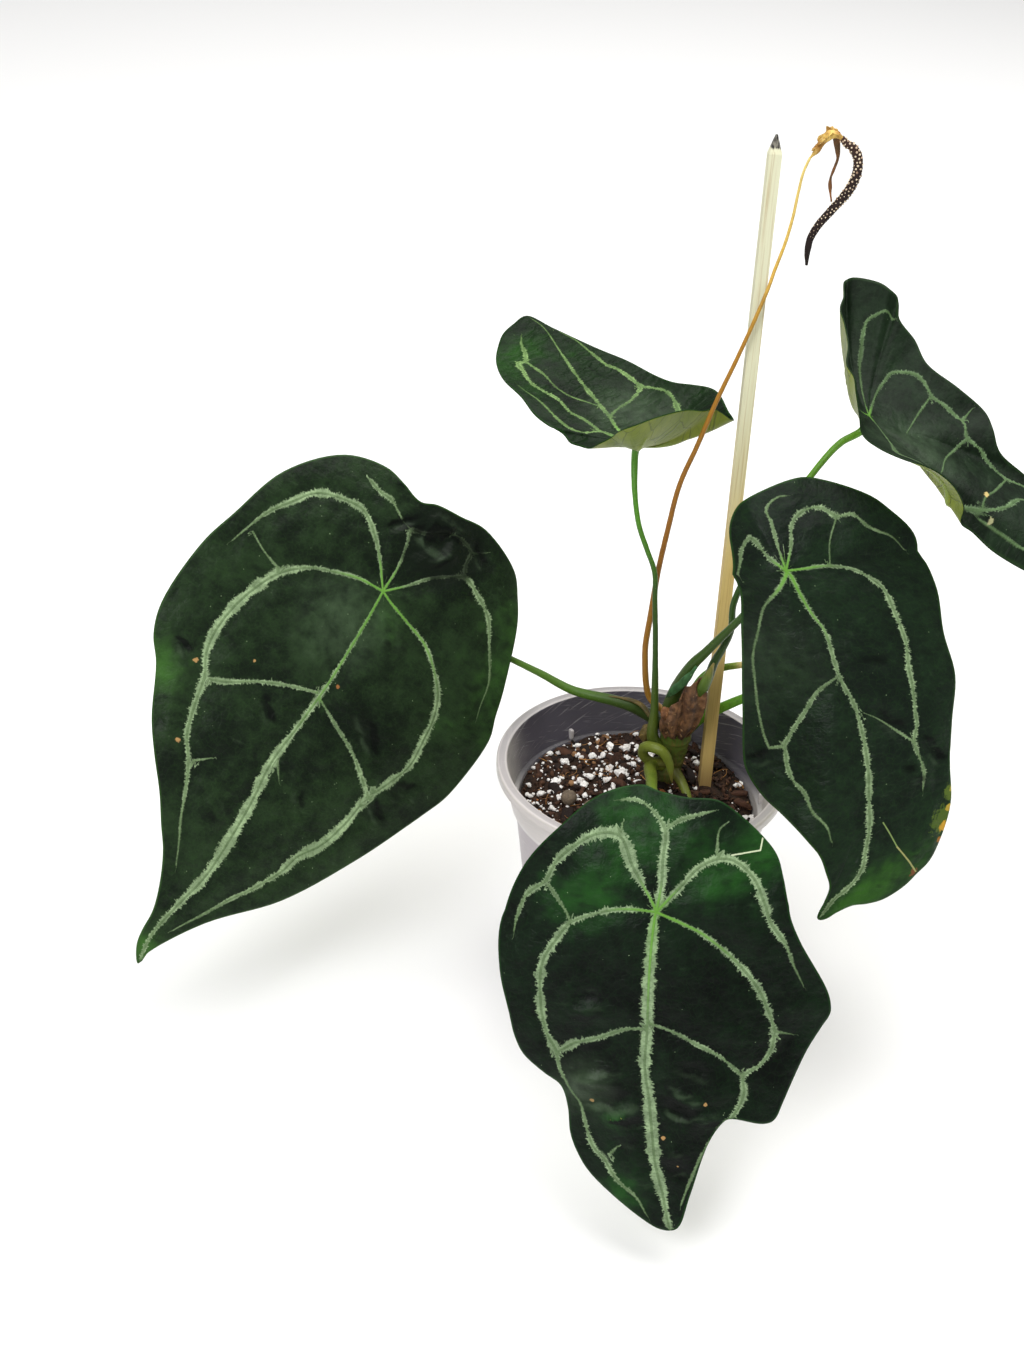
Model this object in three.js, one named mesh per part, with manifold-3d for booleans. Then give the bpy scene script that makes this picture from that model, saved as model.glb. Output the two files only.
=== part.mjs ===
// Potted dark forgetii anthurium: five peltate leaves, a withered flower and a wooden stake
// in a 12 cm nursery pot. Millimetres, +Z up, origin at the centre of the pot's base.

import * as THREE from 'three';
import { mergeVertices } from 'three/addons/utils/BufferGeometryUtils.js';
import Module from 'manifold-3d';

const wasm = await Module();
wasm.setup();

// Pot: a 12 cm nursery pot, with a collar above a stacking ledge
const RIM_RADIUS = 60;
const POT_HEIGHT = 105;
const WALL = 1.3;
const BASE_RADIUS = 40;
const LEDGE_HEIGHT = 86;
const BODY_TOP_RADIUS = 51.3;
const COLLAR_INNER_RADIUS = 52;
const MOUTH_RADIUS = 55.5;
const LIP_DROP = 4;
const DRAIN_HOLES = 8;
const DRAIN_RADIUS = 3.5;
const DRAIN_CIRCLE = 31;
const RIBS = 6;
const RIB_SIZE = [2.4, 1.6, 5.4];
const FIRST_RIB = 2.15;
const POT_SIDES = 40;
const DRAIN_SIDES = 10;

// Potting mix
const MIX_TOP = 84;
const MIX_GAP = 0.3;
const MIX_SHOULDER = 5;
const MIX_SIDES = 28;
const MIX_RINGS = [0.985, 0.84, 0.66, 0.46, 0.24];
const HEAP = 5;
const HEAP_AT = [6, 10];
const HEAP_SPREAD = 30;
const SINK = 4.5;
const LUMPS = 0.8;
const PERLITE_COUNT = 52;
const PERLITE_REACH = 45.5;
const BARK_COUNT = 26;
const BARK_REACH = 43.5;
const BARK_THICKNESS = 2.4;
const MIX_SEED = 11;

// Plant
const BLADE_THICKNESS = 0.8;
const PAPER_THICKNESS = 0.7;
const SEAT = 0.35;
const BLADE_SEAT = 0.5;
const JOINT_DEPTH = 6;
const STALK_SIDES = 8;
const BLADE_RINGS = [0.22, 0.45, 0.65, 0.83, 1];

// Stake: a square stick, 340 mm long, planted at a slight lean
const STAKE_FOOT = [27.4, -0.5, 14];
const STAKE_SHOULDER = [31.7, 58.8, 345];
const STAKE_TIP = [31.8, 60, 352];
const STAKE_SIDE = 4.9;
const STAKE_TURN = 0.87;

const point = ([x, y, z]) => new THREE.Vector3(x, y, z);

// Repeatable numbers between 0 and 1
function seeded(seed) {
  let state = seed;
  return () => {
    state = (state * 1664525 + 1013904223) % 4294967296;
    return state / 4294967296;
  };
}

// Signed volume of a closed indexed geometry
function volumeOf(geometry) {
  const corners = geometry.attributes.position;
  const index = geometry.index.array;
  const [a, b, c] = [new THREE.Vector3(), new THREE.Vector3(), new THREE.Vector3()];
  let sum = 0;
  for (let i = 0; i < index.length; i += 3) {
    a.fromBufferAttribute(corners, index[i]);
    b.fromBufferAttribute(corners, index[i + 1]);
    c.fromBufferAttribute(corners, index[i + 2]);
    sum += a.dot(b.cross(c)) / 6;
  }
  return sum;
}

// A closed geometry with shared corners and its faces pointing out
function closed(geometry) {
  geometry.deleteAttribute('normal');
  geometry.deleteAttribute('uv');
  const merged = mergeVertices(geometry, 1e-4);
  if (volumeOf(merged) < 0) {
    const index = merged.index.array;
    for (let i = 0; i < index.length; i += 3) {
      [index[i], index[i + 1]] = [index[i + 1], index[i]];
    }
  }
  return merged;
}

function solidOf(geometry) {
  const body = closed(geometry);
  return new wasm.Manifold(new wasm.Mesh({
    numProp: 3,
    vertProperties: new Float32Array(body.attributes.position.array),
    triVerts: new Uint32Array(body.index.array),
  }));
}

// The largest body of a solid, as a geometry
function geometryOf(solid) {
  const bodies = solid.decompose();
  const largest = bodies.reduce((best, body) => (body.volume() > best.volume() ? body : best));
  const mesh = largest.getMesh();
  const geometry = new THREE.BufferGeometry();
  geometry.setAttribute('position', new THREE.BufferAttribute(new Float32Array(mesh.vertProperties), 3));
  geometry.setIndex(new THREE.BufferAttribute(new Uint32Array(mesh.triVerts), 1));
  return geometry;
}

function joined(geometries) {
  return geometries.map(solidOf).reduce((whole, piece) => whole.add(piece));
}

// A round or square stem along a smooth path. Radii are spread evenly from its foot to its tip.
function stem(points, radii, { sides = STALK_SIDES, steps = points.length * 2, grow = 0, turn = 0 } = {}) {
  const path = new THREE.CatmullRomCurve3(points.map(point), false, 'centripetal');
  const frames = path.computeFrenetFrames(steps, false);
  const positions = [];
  const index = [];
  for (let i = 0; i <= steps; i += 1) {
    const centre = path.getPointAt(i / steps);
    const place = (i / steps) * (radii.length - 1);
    const low = Math.min(Math.floor(place), radii.length - 2);
    const radius = THREE.MathUtils.lerp(radii[low], radii[low + 1], place - low) + grow;
    for (let j = 0; j < sides; j += 1) {
      const angle = turn + (2 * Math.PI * j) / sides;
      const corner = centre.clone()
        .addScaledVector(frames.normals[i], radius * Math.cos(angle))
        .addScaledVector(frames.binormals[i], radius * Math.sin(angle));
      positions.push(corner.x, corner.y, corner.z);
    }
  }
  for (let i = 0; i < steps; i += 1) {
    for (let j = 0; j < sides; j += 1) {
      const a = i * sides + j;
      const b = i * sides + ((j + 1) % sides);
      index.push(a, b, b + sides, a, b + sides, a + sides);
    }
  }
  for (let j = 1; j < sides - 1; j += 1) {
    const last = steps * sides;
    index.push(0, j + 1, j, last, last + j, last + j + 1);
  }
  const geometry = new THREE.BufferGeometry();
  geometry.setAttribute('position', new THREE.Float32BufferAttribute(positions, 3));
  geometry.setIndex(index);
  return closed(geometry);
}

// A thin solid from an open surface: both faces share the same triangles
function thickened(surface, thickness) {
  surface.computeVertexNormals();
  const upper = surface.attributes.position;
  const normal = surface.attributes.normal;
  const index = Array.from(surface.index.array);
  const count = upper.count;
  const positions = Array.from(upper.array);
  for (let i = 0; i < count; i += 1) {
    positions.push(
      upper.getX(i) - normal.getX(i) * thickness,
      upper.getY(i) - normal.getY(i) * thickness,
      upper.getZ(i) - normal.getZ(i) * thickness,
    );
  }
  const edges = new Map();
  for (let i = 0; i < index.length; i += 3) {
    for (let k = 0; k < 3; k += 1) {
      const from = index[i + k];
      const to = index[i + ((k + 1) % 3)];
      edges.set(`${from},${to}`, [from, to]);
    }
  }
  const faces = [...index];
  for (let i = 0; i < index.length; i += 3) {
    faces.push(index[i + 2] + count, index[i + 1] + count, index[i] + count);
  }
  for (const [from, to] of edges.values()) {
    if (!edges.has(`${to},${from}`)) {
      faces.push(to, from, from + count, to, from + count, to + count);
    }
  }
  const solid = new THREE.BufferGeometry();
  solid.setAttribute('position', new THREE.Float32BufferAttribute(positions, 3));
  solid.setIndex(faces);
  return closed(solid);
}

// An open rectangular surface: at(u, v) gives its points, u and v from 0 to 1
function sheet(at, rows, columns) {
  const positions = [];
  const index = [];
  for (let i = 0; i <= rows; i += 1) {
    for (let j = 0; j <= columns; j += 1) {
      positions.push(...at(i / rows, j / columns));
    }
  }
  for (let i = 0; i < rows; i += 1) {
    for (let j = 0; j < columns; j += 1) {
      const a = i * (columns + 1) + j;
      const b = a + columns + 1;
      index.push(a, b, a + 1, a + 1, b, b + 1);
    }
  }
  const surface = new THREE.BufferGeometry();
  surface.setAttribute('position', new THREE.Float32BufferAttribute(positions, 3));
  surface.setIndex(index);
  return surface;
}

function lathe(profile, segments) {
  const points = profile.map(([radius, height]) => new THREE.Vector2(radius, height));
  return closed(new THREE.LatheGeometry(points, segments).rotateX(Math.PI / 2));
}

// Leaves. Each margin lists [along the midrib, across it, lift off the blade's plane],
// seen from where the petiole joins. Bow is the midrib's own curve to the side.
const LEAVES = {
  left: {
    navel: [-109, 10, 174],
    tipward: [-0.47, -0.56, -0.68],
    facing: [0.38, -0.82, 0.42],
    length: 176,
    bow: 0,
    margin: [
      [-38, -41, -8], [-18, -59, -6], [7, -67, -5], [23, -71, -6], [51, -71, -10], [63, -67, -10],
      [72, -60, -10], [91, -50, -9], [102, -42, -8], [114, -32, -7], [125, -24, -7], [133, -18, -7],
      [144, -12, -8], [155, -8, -9], [164, -7, -10], [171, -5, -11], [176, -1, -11], [170, 0, -10],
      [149, 13, -8], [126, 35, -7], [94, 55, -8], [65, 70, -11], [53, 75, -12], [26, 77, -10],
      [16, 73, -8], [5, 69, -6], [-20, 59, -5], [-30, 53, -6], [-39, 46, -8], [-46, 26, -8],
      [-44, 13, -5], [-42, 1, -3], [-39, -6, -2], [-41, -15, -3], [-43, -24, -5],
    ],
  },
  front: {
    navel: [0, -132, 132],
    tipward: [0.10, -0.40, -0.91],
    facing: [-0.09, -0.92, 0.39],
    length: 120,
    bow: -5,
    margin: [
      [-44, -4, -10], [-41, -19, -8], [-31, -33, -4], [-16, -47, -7], [3, -55, -8], [22, -54, -6],
      [38, -50, -5], [47, -48, -6], [54, -45, -7], [61, -38, -7], [66, -32, -7], [74, -30, -7],
      [84, -30, -7], [92, -28, -7], [100, -24, -7], [115, -9, -4], [120, -2, -4], [119, 4, -3],
      [106, 11, -2], [86, 20, -1], [79, 25, -1], [77, 28, -1], [80, 40, -4], [79, 44, -5],
      [72, 48, -6], [64, 52, -8], [54, 57, -9], [46, 62, -10], [41, 65, -10], [37, 65, -10],
      [31, 63, -9], [12, 52, -4], [1, 47, -3], [-10, 45, -5], [-18, 43, -7], [-25, 38, -8],
      [-36, 27, -6], [-39, 22, -5], [-40, 12, -5], [-42, 2, -8],
    ],
  },
  right: {
    navel: [45, -25, 213],
    tipward: [0.18, -0.47, -0.86],
    facing: [0.07, -0.87, 0.49],
    length: 135,
    bow: 24,
    margin: [
      [-34, 15, -9], [-34, 7, -8], [-29, -10, -8], [-26, -14, -11], [-19, -17, -14], [-1, -18, -14],
      [21, -31, -13], [46, -41, -17], [71, -45, -21], [78, -43, -20], [86, -38, -16], [92, -32, -12],
      [98, -26, -8], [104, -20, -6], [110, -14, -6], [117, -9, -7], [123, -5, -8], [129, -4, -9],
      [134, -3, -10], [135, 1, -10], [133, 3, -9], [131, 8, -9], [131, 14, -9], [130, 20, -9],
      [126, 26, -9], [122, 29, -9], [118, 32, -9], [111, 34, -10], [97, 35, -9], [81, 33, -8],
      [65, 35, -9], [48, 40, -9], [31, 42, -9], [12, 49, -8], [-6, 52, -5], [-19, 42, -4],
      [-25, 35, -5],
    ],
  },
  top: {
    navel: [-11, 46, 228],
    tipward: [-0.48, 0.86, 0.15],
    facing: [0.04, -0.15, 1],
    length: 100,
    bow: 0,
    margin: [
      [100, -1, 2], [89, -8, 1], [67, -19, 1], [55, -26, 1], [38, -30, 3], [27, -32, 6],
      [20, -37, 8], [15, -41, 9], [6, -40, 12], [-11, -34, 15], [-15, -34, 14], [-17, -31, 16],
      [-15, -24, 21], [-17, -17, 23], [-18, -8, 26], [-20, 7, 27], [-18, 14, 24], [-13, 17, 19],
      [-7, 17, 12], [-3, 20, 7], [2, 21, 2], [6, 23, 1], [12, 24, -1], [17, 24, -1],
      [22, 28, 1], [32, 30, 1], [44, 30, 2], [58, 31, 2], [75, 26, 0], [85, 20, 0],
      [91, 15, 1], [97, 7, 1],
    ],
  },
  upper_right: {
    navel: [75, 20, 257],
    tipward: [0.93, -0.20, -0.31],
    facing: [0.30, -0.08, 0.95],
    length: 121,
    bow: 0,
    margin: [
      [-28, 55, 25], [-26, 55, 27], [-16, 54, 30], [-11, 52, 30], [-7, 53, 28], [-3, 46, 23],
      [6, 43, 19], [14, 36, 15], [29, 32, 13], [42, 29, 10], [47, 22, 8], [53, 16, 3],
      [65, 16, -1], [86, 14, -6], [108, 5, -10], [121, -8, -12], [112, -20, -13], [101, -26, -14],
      [87, -29, -16], [76, -28, -17], [70, -27, -17], [62, -26, -16], [53, -25, -13], [47, -26, -11],
      [44, -29, -3], [37, -32, 4], [29, -35, 8], [21, -39, 10], [15, -39, 9], [5, -35, 7],
      [-2, -28, 6], [-6, -28, 12], [-11, -26, 19], [-14, -24, 23], [-18, -19, 24], [-20, -6, 26],
      [-24, 9, 27], [-27, 20, 27], [-27, 36, 26],
    ],
  },
};

// Where a leaf's plane coordinates lie in space
function leafFrame(leaf) {
  const normal = point(leaf.facing).normalize();
  const along = point(leaf.tipward);
  along.addScaledVector(normal, -along.dot(normal)).normalize();
  const across = new THREE.Vector3().crossVectors(normal, along);
  const origin = point(leaf.navel);
  return (s, t, lift) => {
    const share = THREE.MathUtils.clamp(s / leaf.length, 0, 1);
    const side = t + leaf.bow * Math.sin(Math.PI * share) ** 0.75;
    return origin.clone()
      .addScaledVector(along, s)
      .addScaledVector(across, side)
      .addScaledVector(normal, lift);
  };
}

// A blade: rings of its margin drawn in to the navel, the lift growing as the square
function blade(leaf) {
  const place = leafFrame(leaf);
  const positions = [...leaf.navel];
  const index = [];
  const spokes = leaf.margin.length;
  BLADE_RINGS.forEach((share, ring) => {
    leaf.margin.forEach(([s, t, lift], spoke) => {
      const p = place(s * share, t * share, lift * share * share);
      positions.push(p.x, p.y, p.z);
      const next = (spoke + 1) % spokes;
      const here = 1 + ring * spokes;
      if (ring === 0) {
        index.push(0, here + spoke, here + next);
      } else {
        const inner = here - spokes;
        index.push(inner + spoke, here + spoke, here + next, inner + spoke, here + next, inner + next);
      }
    });
  });
  const surface = new THREE.BufferGeometry();
  surface.setAttribute('position', new THREE.Float32BufferAttribute(positions, 3));
  surface.setIndex(index);
  surface.computeVertexNormals();
  const first = new THREE.Vector3().fromBufferAttribute(surface.attributes.normal, 0);
  if (first.dot(point(leaf.facing)) < 0) {
    for (let i = 0; i < index.length; i += 3) {
      [index[i], index[i + 1]] = [index[i + 1], index[i]];
    }
    surface.setIndex(index);
  }
  return thickened(surface, BLADE_THICKNESS);
}

// The last two points of a petiole, square to the back of its blade
function joint(leaf) {
  const place = leafFrame(leaf);
  return [-JOINT_DEPTH, -BLADE_THICKNESS - BLADE_SEAT].map((lift) => place(0, 0, lift).toArray());
}

// Short stem with a hooked aerial root, and the cutters that keep its neighbours clear
const CROWN_PATH = [[9, 13, 72], [10, 13, 86], [13, 13, 98], [14, 12, 110], [13, 11, 120], [13, 11, 127]];
const CROWN_RADII = [6, 6, 5.2, 5.5, 6.5, 4];
const HOOK_PATH = [[11, 10, 99], [4, 6, 103], [0, 6, 108], [1, 5, 112.5], [4, 2, 115.5], [8, 0, 114],
  [11, -0.5, 108], [13, -1, 99]];
const HOOK_RADII = [2.2, 1.9, 1.8, 1.9, 1.9, 1.7, 1.3, 0.5];
const ROOT_PATH = [[14, 10, 97], [18, 5, 93], [21, -1, 88], [22, -4, 78]];
const ROOT_RADII = [2.4, 2, 1.8, 1.2];

function crownSolid(grow) {
  return joined([
    stem(CROWN_PATH, CROWN_RADII, { sides: 10, steps: 10, grow }),
    stem(HOOK_PATH, HOOK_RADII, { sides: 6, steps: 15, grow }),
    stem(ROOT_PATH, ROOT_RADII, { steps: 6, grow }),
  ]);
}

const crownClearance = crownSolid(SEAT);

function seatedStem(points, radii, options) {
  return geometryOf(solidOf(stem(points, radii, options)).subtract(crownClearance));
}

function stake(grow = 0) {
  const half = STAKE_SIDE / Math.SQRT2;
  const shape = { sides: 4, turn: STAKE_TURN, grow };
  const shaft = stem([STAKE_FOOT, STAKE_SHOULDER], [half, half], { ...shape, steps: 8 });
  const taper = stem([STAKE_SHOULDER, STAKE_TIP], [half, 0.5], { ...shape, steps: 1 });
  return joined([shaft, taper]);
}

function pot() {
  const ledgeInner = BODY_TOP_RADIUS - WALL;
  const lipUnder = POT_HEIGHT - LIP_DROP;
  const body = lathe([
    [0, 0], [BASE_RADIUS - 1.5, 0], [BASE_RADIUS, 1.5],
    [BODY_TOP_RADIUS, LEDGE_HEIGHT - 2], [COLLAR_INNER_RADIUS + WALL, LEDGE_HEIGHT - WALL],
    [MOUTH_RADIUS + WALL - 0.6, POT_HEIGHT - 1.8], [RIM_RADIUS - WALL, POT_HEIGHT - 1.6],
    [RIM_RADIUS - WALL, lipUnder], [RIM_RADIUS, lipUnder], [RIM_RADIUS, POT_HEIGHT - 0.7],
    [RIM_RADIUS - 0.7, POT_HEIGHT], [MOUTH_RADIUS + 0.5, POT_HEIGHT], [MOUTH_RADIUS, POT_HEIGHT - 0.6],
    [COLLAR_INNER_RADIUS, LEDGE_HEIGHT + 0.6], [ledgeInner + 0.4, LEDGE_HEIGHT],
    [ledgeInner, LEDGE_HEIGHT - 1], [BASE_RADIUS - WALL, WALL + 0.5], [BASE_RADIUS - WALL - 1, WALL],
    [0, WALL],
  ], POT_SIDES);
  let solid = solidOf(body);
  for (let i = 0; i < RIBS; i += 1) {
    const angle = FIRST_RIB + (2 * Math.PI * i) / RIBS;
    const rib = new THREE.BoxGeometry(...RIB_SIZE)
      .translate(COLLAR_INNER_RADIUS - 0.2, 0, LEDGE_HEIGHT + 2.4)
      .rotateZ(angle);
    solid = solid.add(solidOf(rib));
  }
  for (let i = 0; i < DRAIN_HOLES; i += 1) {
    const angle = (2 * Math.PI * (i + 0.5)) / DRAIN_HOLES;
    const hole = new THREE.CylinderGeometry(DRAIN_RADIUS, DRAIN_RADIUS, 4 * WALL, DRAIN_SIDES)
      .rotateX(Math.PI / 2)
      .translate(DRAIN_CIRCLE * Math.cos(angle), DRAIN_CIRCLE * Math.sin(angle), 0);
    solid = solid.subtract(solidOf(hole));
  }
  return geometryOf(solid);
}

// Height of the potting mix: heaped round the stem, sunk towards the right of the pot
function mixHeight(x, y) {
  const away = Math.hypot(x - HEAP_AT[0], y - HEAP_AT[1]) / HEAP_SPREAD;
  const heap = HEAP * Math.exp(-away * away);
  const sink = SINK * THREE.MathUtils.smoothstep(x - 0.4 * y, 22, 52);
  const lumps = LUMPS * Math.sin(x * 0.34 + 1) * Math.cos(y * 0.29);
  return MIX_TOP + heap - sink + lumps;
}

function mixRadius(z) {
  const inner = (r) => r - WALL - MIX_GAP;
  return THREE.MathUtils.mapLinear(z, WALL, LEDGE_HEIGHT - 2, inner(BASE_RADIUS), inner(BODY_TOP_RADIUS));
}

function pottingMix() {
  const under = WALL + MIX_GAP;
  const shoulder = MIX_TOP - MIX_SHOULDER;
  const edge = mixRadius(shoulder);
  const profile = [[0, under], [mixRadius(under) - 1.2, under], [edge, shoulder]];
  for (const share of MIX_RINGS) {
    profile.push([edge * share, MIX_TOP]);
  }
  profile.push([0, MIX_TOP]);
  const base = lathe(profile, MIX_SIDES);
  const corners = base.attributes.position;
  for (let i = 0; i < corners.count; i += 1) {
    if (corners.getZ(i) > MIX_TOP - 1) {
      corners.setZ(i, mixHeight(corners.getX(i), corners.getY(i)));
    }
  }
  const random = seeded(MIX_SEED);
  const pieces = [base];
  const scatter = (count, reach, makePiece) => {
    for (let i = 0; i < count; i += 1) {
      const angle = 2 * Math.PI * random();
      const radius = reach * Math.sqrt(random());
      const [x, y] = [radius * Math.cos(angle), radius * Math.sin(angle)];
      const piece = makePiece();
      piece.rotateX(0.7 * (random() - 0.5)).rotateZ(2 * Math.PI * random());
      pieces.push(piece.translate(x, y, mixHeight(x, y) + 0.3));
    }
  };
  const perlite = () => new THREE.OctahedronGeometry(1.7 + 1.2 * random(), 0);
  const bark = () => new THREE.BoxGeometry(4.5 + 3 * random(), 2.6 + random(), BARK_THICKNESS);
  scatter(PERLITE_COUNT, PERLITE_REACH, perlite);
  scatter(BARK_COUNT, BARK_REACH, bark);
  const solid = joined(pieces).subtract(crownClearance).subtract(stake(SEAT));
  return geometryOf(solid);
}

// Withered brown sheath, cupped in front of the crown
function crownSheath() {
  const surface = sheet((u, v) => {
    const side = 2 * v - 1;
    const width = 7.6 * Math.sin(Math.PI * (0.16 + 0.78 * u)) ** 0.8;
    const x = 13.2 + side * width + 2.6 * u;
    const y = 4.1 - 3.8 * Math.sin(Math.PI * Math.min(u * 0.7, 0.5)) + 2.4 * side * side * (1 - 0.5 * u);
    const z = 117 + 26 * u - 2.5 * side * side + 0.7 * Math.sin(9 * v + 4 * u);
    return [x, y + 0.35 * Math.sin(11 * v), z];
  }, 6, 8);
  return thickened(surface, PAPER_THICKNESS);
}

// Dried spathe: the shrivelled stalk end, two crumpled flaps and a drooping shred
const SPATHE_PATH = [[45.6, 60, 344.3], [47.5, 60, 347.3], [49.9, 60, 351.3], [52.2, 60, 354],
  [54.6, 60, 354], [56.2, 60, 352.4]];
const SHRED_PATH = [[54, 60, 354], [54.6, 61.6, 350.6], [56, 62, 344], [54.9, 61.4, 339], [54.2, 61, 336],
  [54.4, 61, 332], [55.7, 61, 327]];

function spathe() {
  const core = stem(SPATHE_PATH, [0.9, 1.2, 1.5, 1.6, 1.6, 1.3], { sides: 6, steps: 7 });
  const shred = stem(SHRED_PATH, [0.9, 0.9, 0.7, 0.9, 0.6], { sides: 4, steps: 9 });
  const flap = (turn, reach) => thickened(sheet((u, v) => {
    const x = 46.5 + 9 * u;
    const spread = reach * Math.sin(Math.PI * (0.1 + 0.85 * u)) * v;
    const ruffle = 0.5 * Math.sin(12 * u + 5 * v);
    const middle = 346.5 + 7.6 * Math.sin(Math.PI * 0.62 * u);
    return [
      x + ruffle,
      60 + spread * Math.cos(turn) + ruffle * 0.6,
      middle + spread * Math.sin(turn),
    ];
  }, 6, 2), PAPER_THICKNESS);
  return geometryOf(joined([core, shred, flap(0.9, 4.2), flap(2.6, 3.6)]));
}

const material = (color, roughness, metalness = 0) => new THREE.MeshStandardMaterial({
  color,
  roughness,
  metalness,
});

const plastic = material(0xb9b4b1, 0.35);
plastic.transparent = true;
plastic.opacity = 0.7;

const FINISH = {
  plastic,
  mix: material(0x3a2a20, 0.95),
  wood: material(0xd8cba0, 0.7),
  crown: material(0x56682c, 0.6),
  paper: material(0x7a4a26, 0.85),
  blade: material(0x1d3a24, 0.45),
  petiole: material(0x4b7a2c, 0.45),
  stalk: material(0xa8702a, 0.55),
  spathe: material(0xc79a45, 0.8),
  spadix: material(0x3a2320, 0.75),
};

const plant = new THREE.Group();

function add(name, geometry, finish) {
  const piece = new THREE.Mesh(geometry, FINISH[finish]);
  piece.name = name;
  plant.add(piece);
}

const PETIOLES = {
  left: {
    route: [[11, 15.5, 113], [3, 18.8, 116.5], [-5.5, 19.5, 120.5], [-13, 20.5, 122], [-30, 24, 123.7],
      [-43.5, 27, 129], [-55.5, 28.5, 134], [-69.5, 27, 142], [-82, 25, 150], [-95, 23, 158.5],
      [-105, 21.5, 165.5]],
    radii: [3, 2.8, 2.3, 1.8, 1.5, 1.4, 1.5, 2],
  },
  front: {
    route: [[10, 11, 98], [5, 7, 100], [4, -10, 104], [3, -35, 113], [2, -62, 121], [1, -90, 127],
      [1, -112, 129]],
    radii: [3, 2.4, 2, 1.8, 1.8, 2.2],
  },
  right: {
    route: [[11, 9.5, 118], [10, 8.5, 128], [16, 4, 150], [21.5, 1, 160], [32, -4, 178], [40, -11, 195],
      [43.6, -15.5, 205]],
    radii: [3.4, 3.4, 2.1, 1.7, 1.6, 2.1],
  },
  top: {
    route: [[10, 12, 104], [4.6, 9.8, 111], [4.1, 12, 124.7], [2.1, 20, 154.6], [0.8, 24, 169],
      [-0.2, 28, 180], [-3.7, 31, 188], [-7.7, 35, 197], [-10.3, 40, 209]],
    radii: [3.2, 1.9, 1.4, 1.3, 1.2, 1.3, 1.9],
  },
  upper_right: {
    route: [[15.5, 11, 119], [18.6, 10, 130], [23, 7, 140], [25.7, 5, 153], [28.5, 4, 161], [30.6, 4, 169],
      [30.6, 5, 181], [40, 8, 206], [55, 12, 235], [65, 17, 247]],
    radii: [3, 2.4, 1.7, 1.5, 1.5, 1.5, 1.8, 2],
  },
};

add('pot', pot(), 'plastic');
add('potting_mix', pottingMix(), 'mix');
add('stake', geometryOf(stake()), 'wood');
add('crown', geometryOf(crownSolid(0)), 'crown');
add('crown_sheath', crownSheath(), 'paper');
add('young_sheath', stem([[20.8, 3.2, 137], [22, 0.5, 144], [24.9, 0, 155.5]], [1.3, 2.4, 2, 0.4]), 'petiole');

for (const [name, leaf] of Object.entries(LEAVES)) {
  const { route, radii } = PETIOLES[name];
  add(`petiole_${name}`, seatedStem([...route, ...joint(leaf)], radii), 'petiole');
  add(`blade_${name}`, blade(leaf), 'blade');
}

add('petiole_stub_green', seatedStem(
  [[15, 14, 108], [24.5, 23, 113.7], [31, 24.6, 117.4], [40, 24.6, 123], [45, 24.5, 125.8]],
  [2.6, 2.2, 1.9],
), 'petiole');
add('petiole_stub_dry', seatedStem(
  [[14, 14, 119], [20, 22, 127.5], [25, 27.5, 132.5], [31, 28, 136], [39.7, 27, 139]],
  [2, 1.7, 1.4],
), 'paper');
add('flower_stalk', seatedStem(
  [[11, 13, 120], [7, 17.5, 121.5], [2.7, 20, 124], [0.7, 21, 129], [-0.8, 23, 139.6], [-1.2, 25, 147],
    [-0.2, 28, 158], [0.5, 30.5, 165], [1.6, 33.5, 177], [4, 35, 196], [7, 36, 216], [12.6, 36.5, 234],
    [18.5, 37, 254], [24, 39, 269], [29.2, 41.5, 283.7], [33.8, 45.5, 296.6], [36, 50, 302.5],
    [39.2, 54, 312], [41.3, 57, 321.5], [42.5, 59, 331.5], [43.5, 60, 338], [45.3, 60, 343.7]],
  [1.4, 1.2, 1, 0.8, 0.7],
  { sides: 6, steps: 34 },
), 'stalk');
add('spathe', spathe(), 'spathe');
add('spadix', stem(
  [[56.45, 60, 352], [57.8, 60, 350.2], [60.4, 60, 348.9], [62.9, 60, 345.5], [63.6, 60, 342.1],
    [63.5, 60, 338.1], [62, 60, 333.1], [58.7, 60, 327.8], [55.2, 60, 322.9], [51.3, 60, 317.1],
    [49.4, 60, 312.4], [48.9, 60, 308.6], [49.2, 60, 301.7]],
  [1, 1.8, 1.8, 1.8, 1.7, 1.6, 1.5, 1.3, 0.6],
  { sides: 7, steps: 24 },
), 'spadix');

export default plant;
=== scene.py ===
"""Looks of a potted dark forgetii anthurium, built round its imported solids.

Every size below is in millimetres, and meshes are scaled to metres as they are made. The frame
is the solids' own: the origin is at the centre of the pot's base, +Z points up, and the
photograph was taken looking along +Y.
"""

import logging
import math
from collections.abc import Callable, Sequence
from dataclasses import dataclass, field
from enum import Enum

import bpy
import numpy as np
from mathutils import Matrix, Vector, noise


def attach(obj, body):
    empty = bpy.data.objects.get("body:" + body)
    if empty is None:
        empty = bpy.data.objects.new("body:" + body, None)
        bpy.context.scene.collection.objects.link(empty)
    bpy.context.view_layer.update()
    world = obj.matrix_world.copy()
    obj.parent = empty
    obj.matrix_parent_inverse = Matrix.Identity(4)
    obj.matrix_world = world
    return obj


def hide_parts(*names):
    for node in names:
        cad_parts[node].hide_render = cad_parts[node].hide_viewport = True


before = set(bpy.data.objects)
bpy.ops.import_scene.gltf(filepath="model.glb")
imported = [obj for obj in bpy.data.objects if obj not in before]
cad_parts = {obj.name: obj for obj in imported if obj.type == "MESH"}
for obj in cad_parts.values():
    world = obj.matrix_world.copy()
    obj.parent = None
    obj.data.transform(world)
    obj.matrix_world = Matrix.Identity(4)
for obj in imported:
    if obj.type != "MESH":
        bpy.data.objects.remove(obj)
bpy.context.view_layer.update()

LOG = logging.getLogger("anthurium")
MM = 0.001
BODY = "root"
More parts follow.
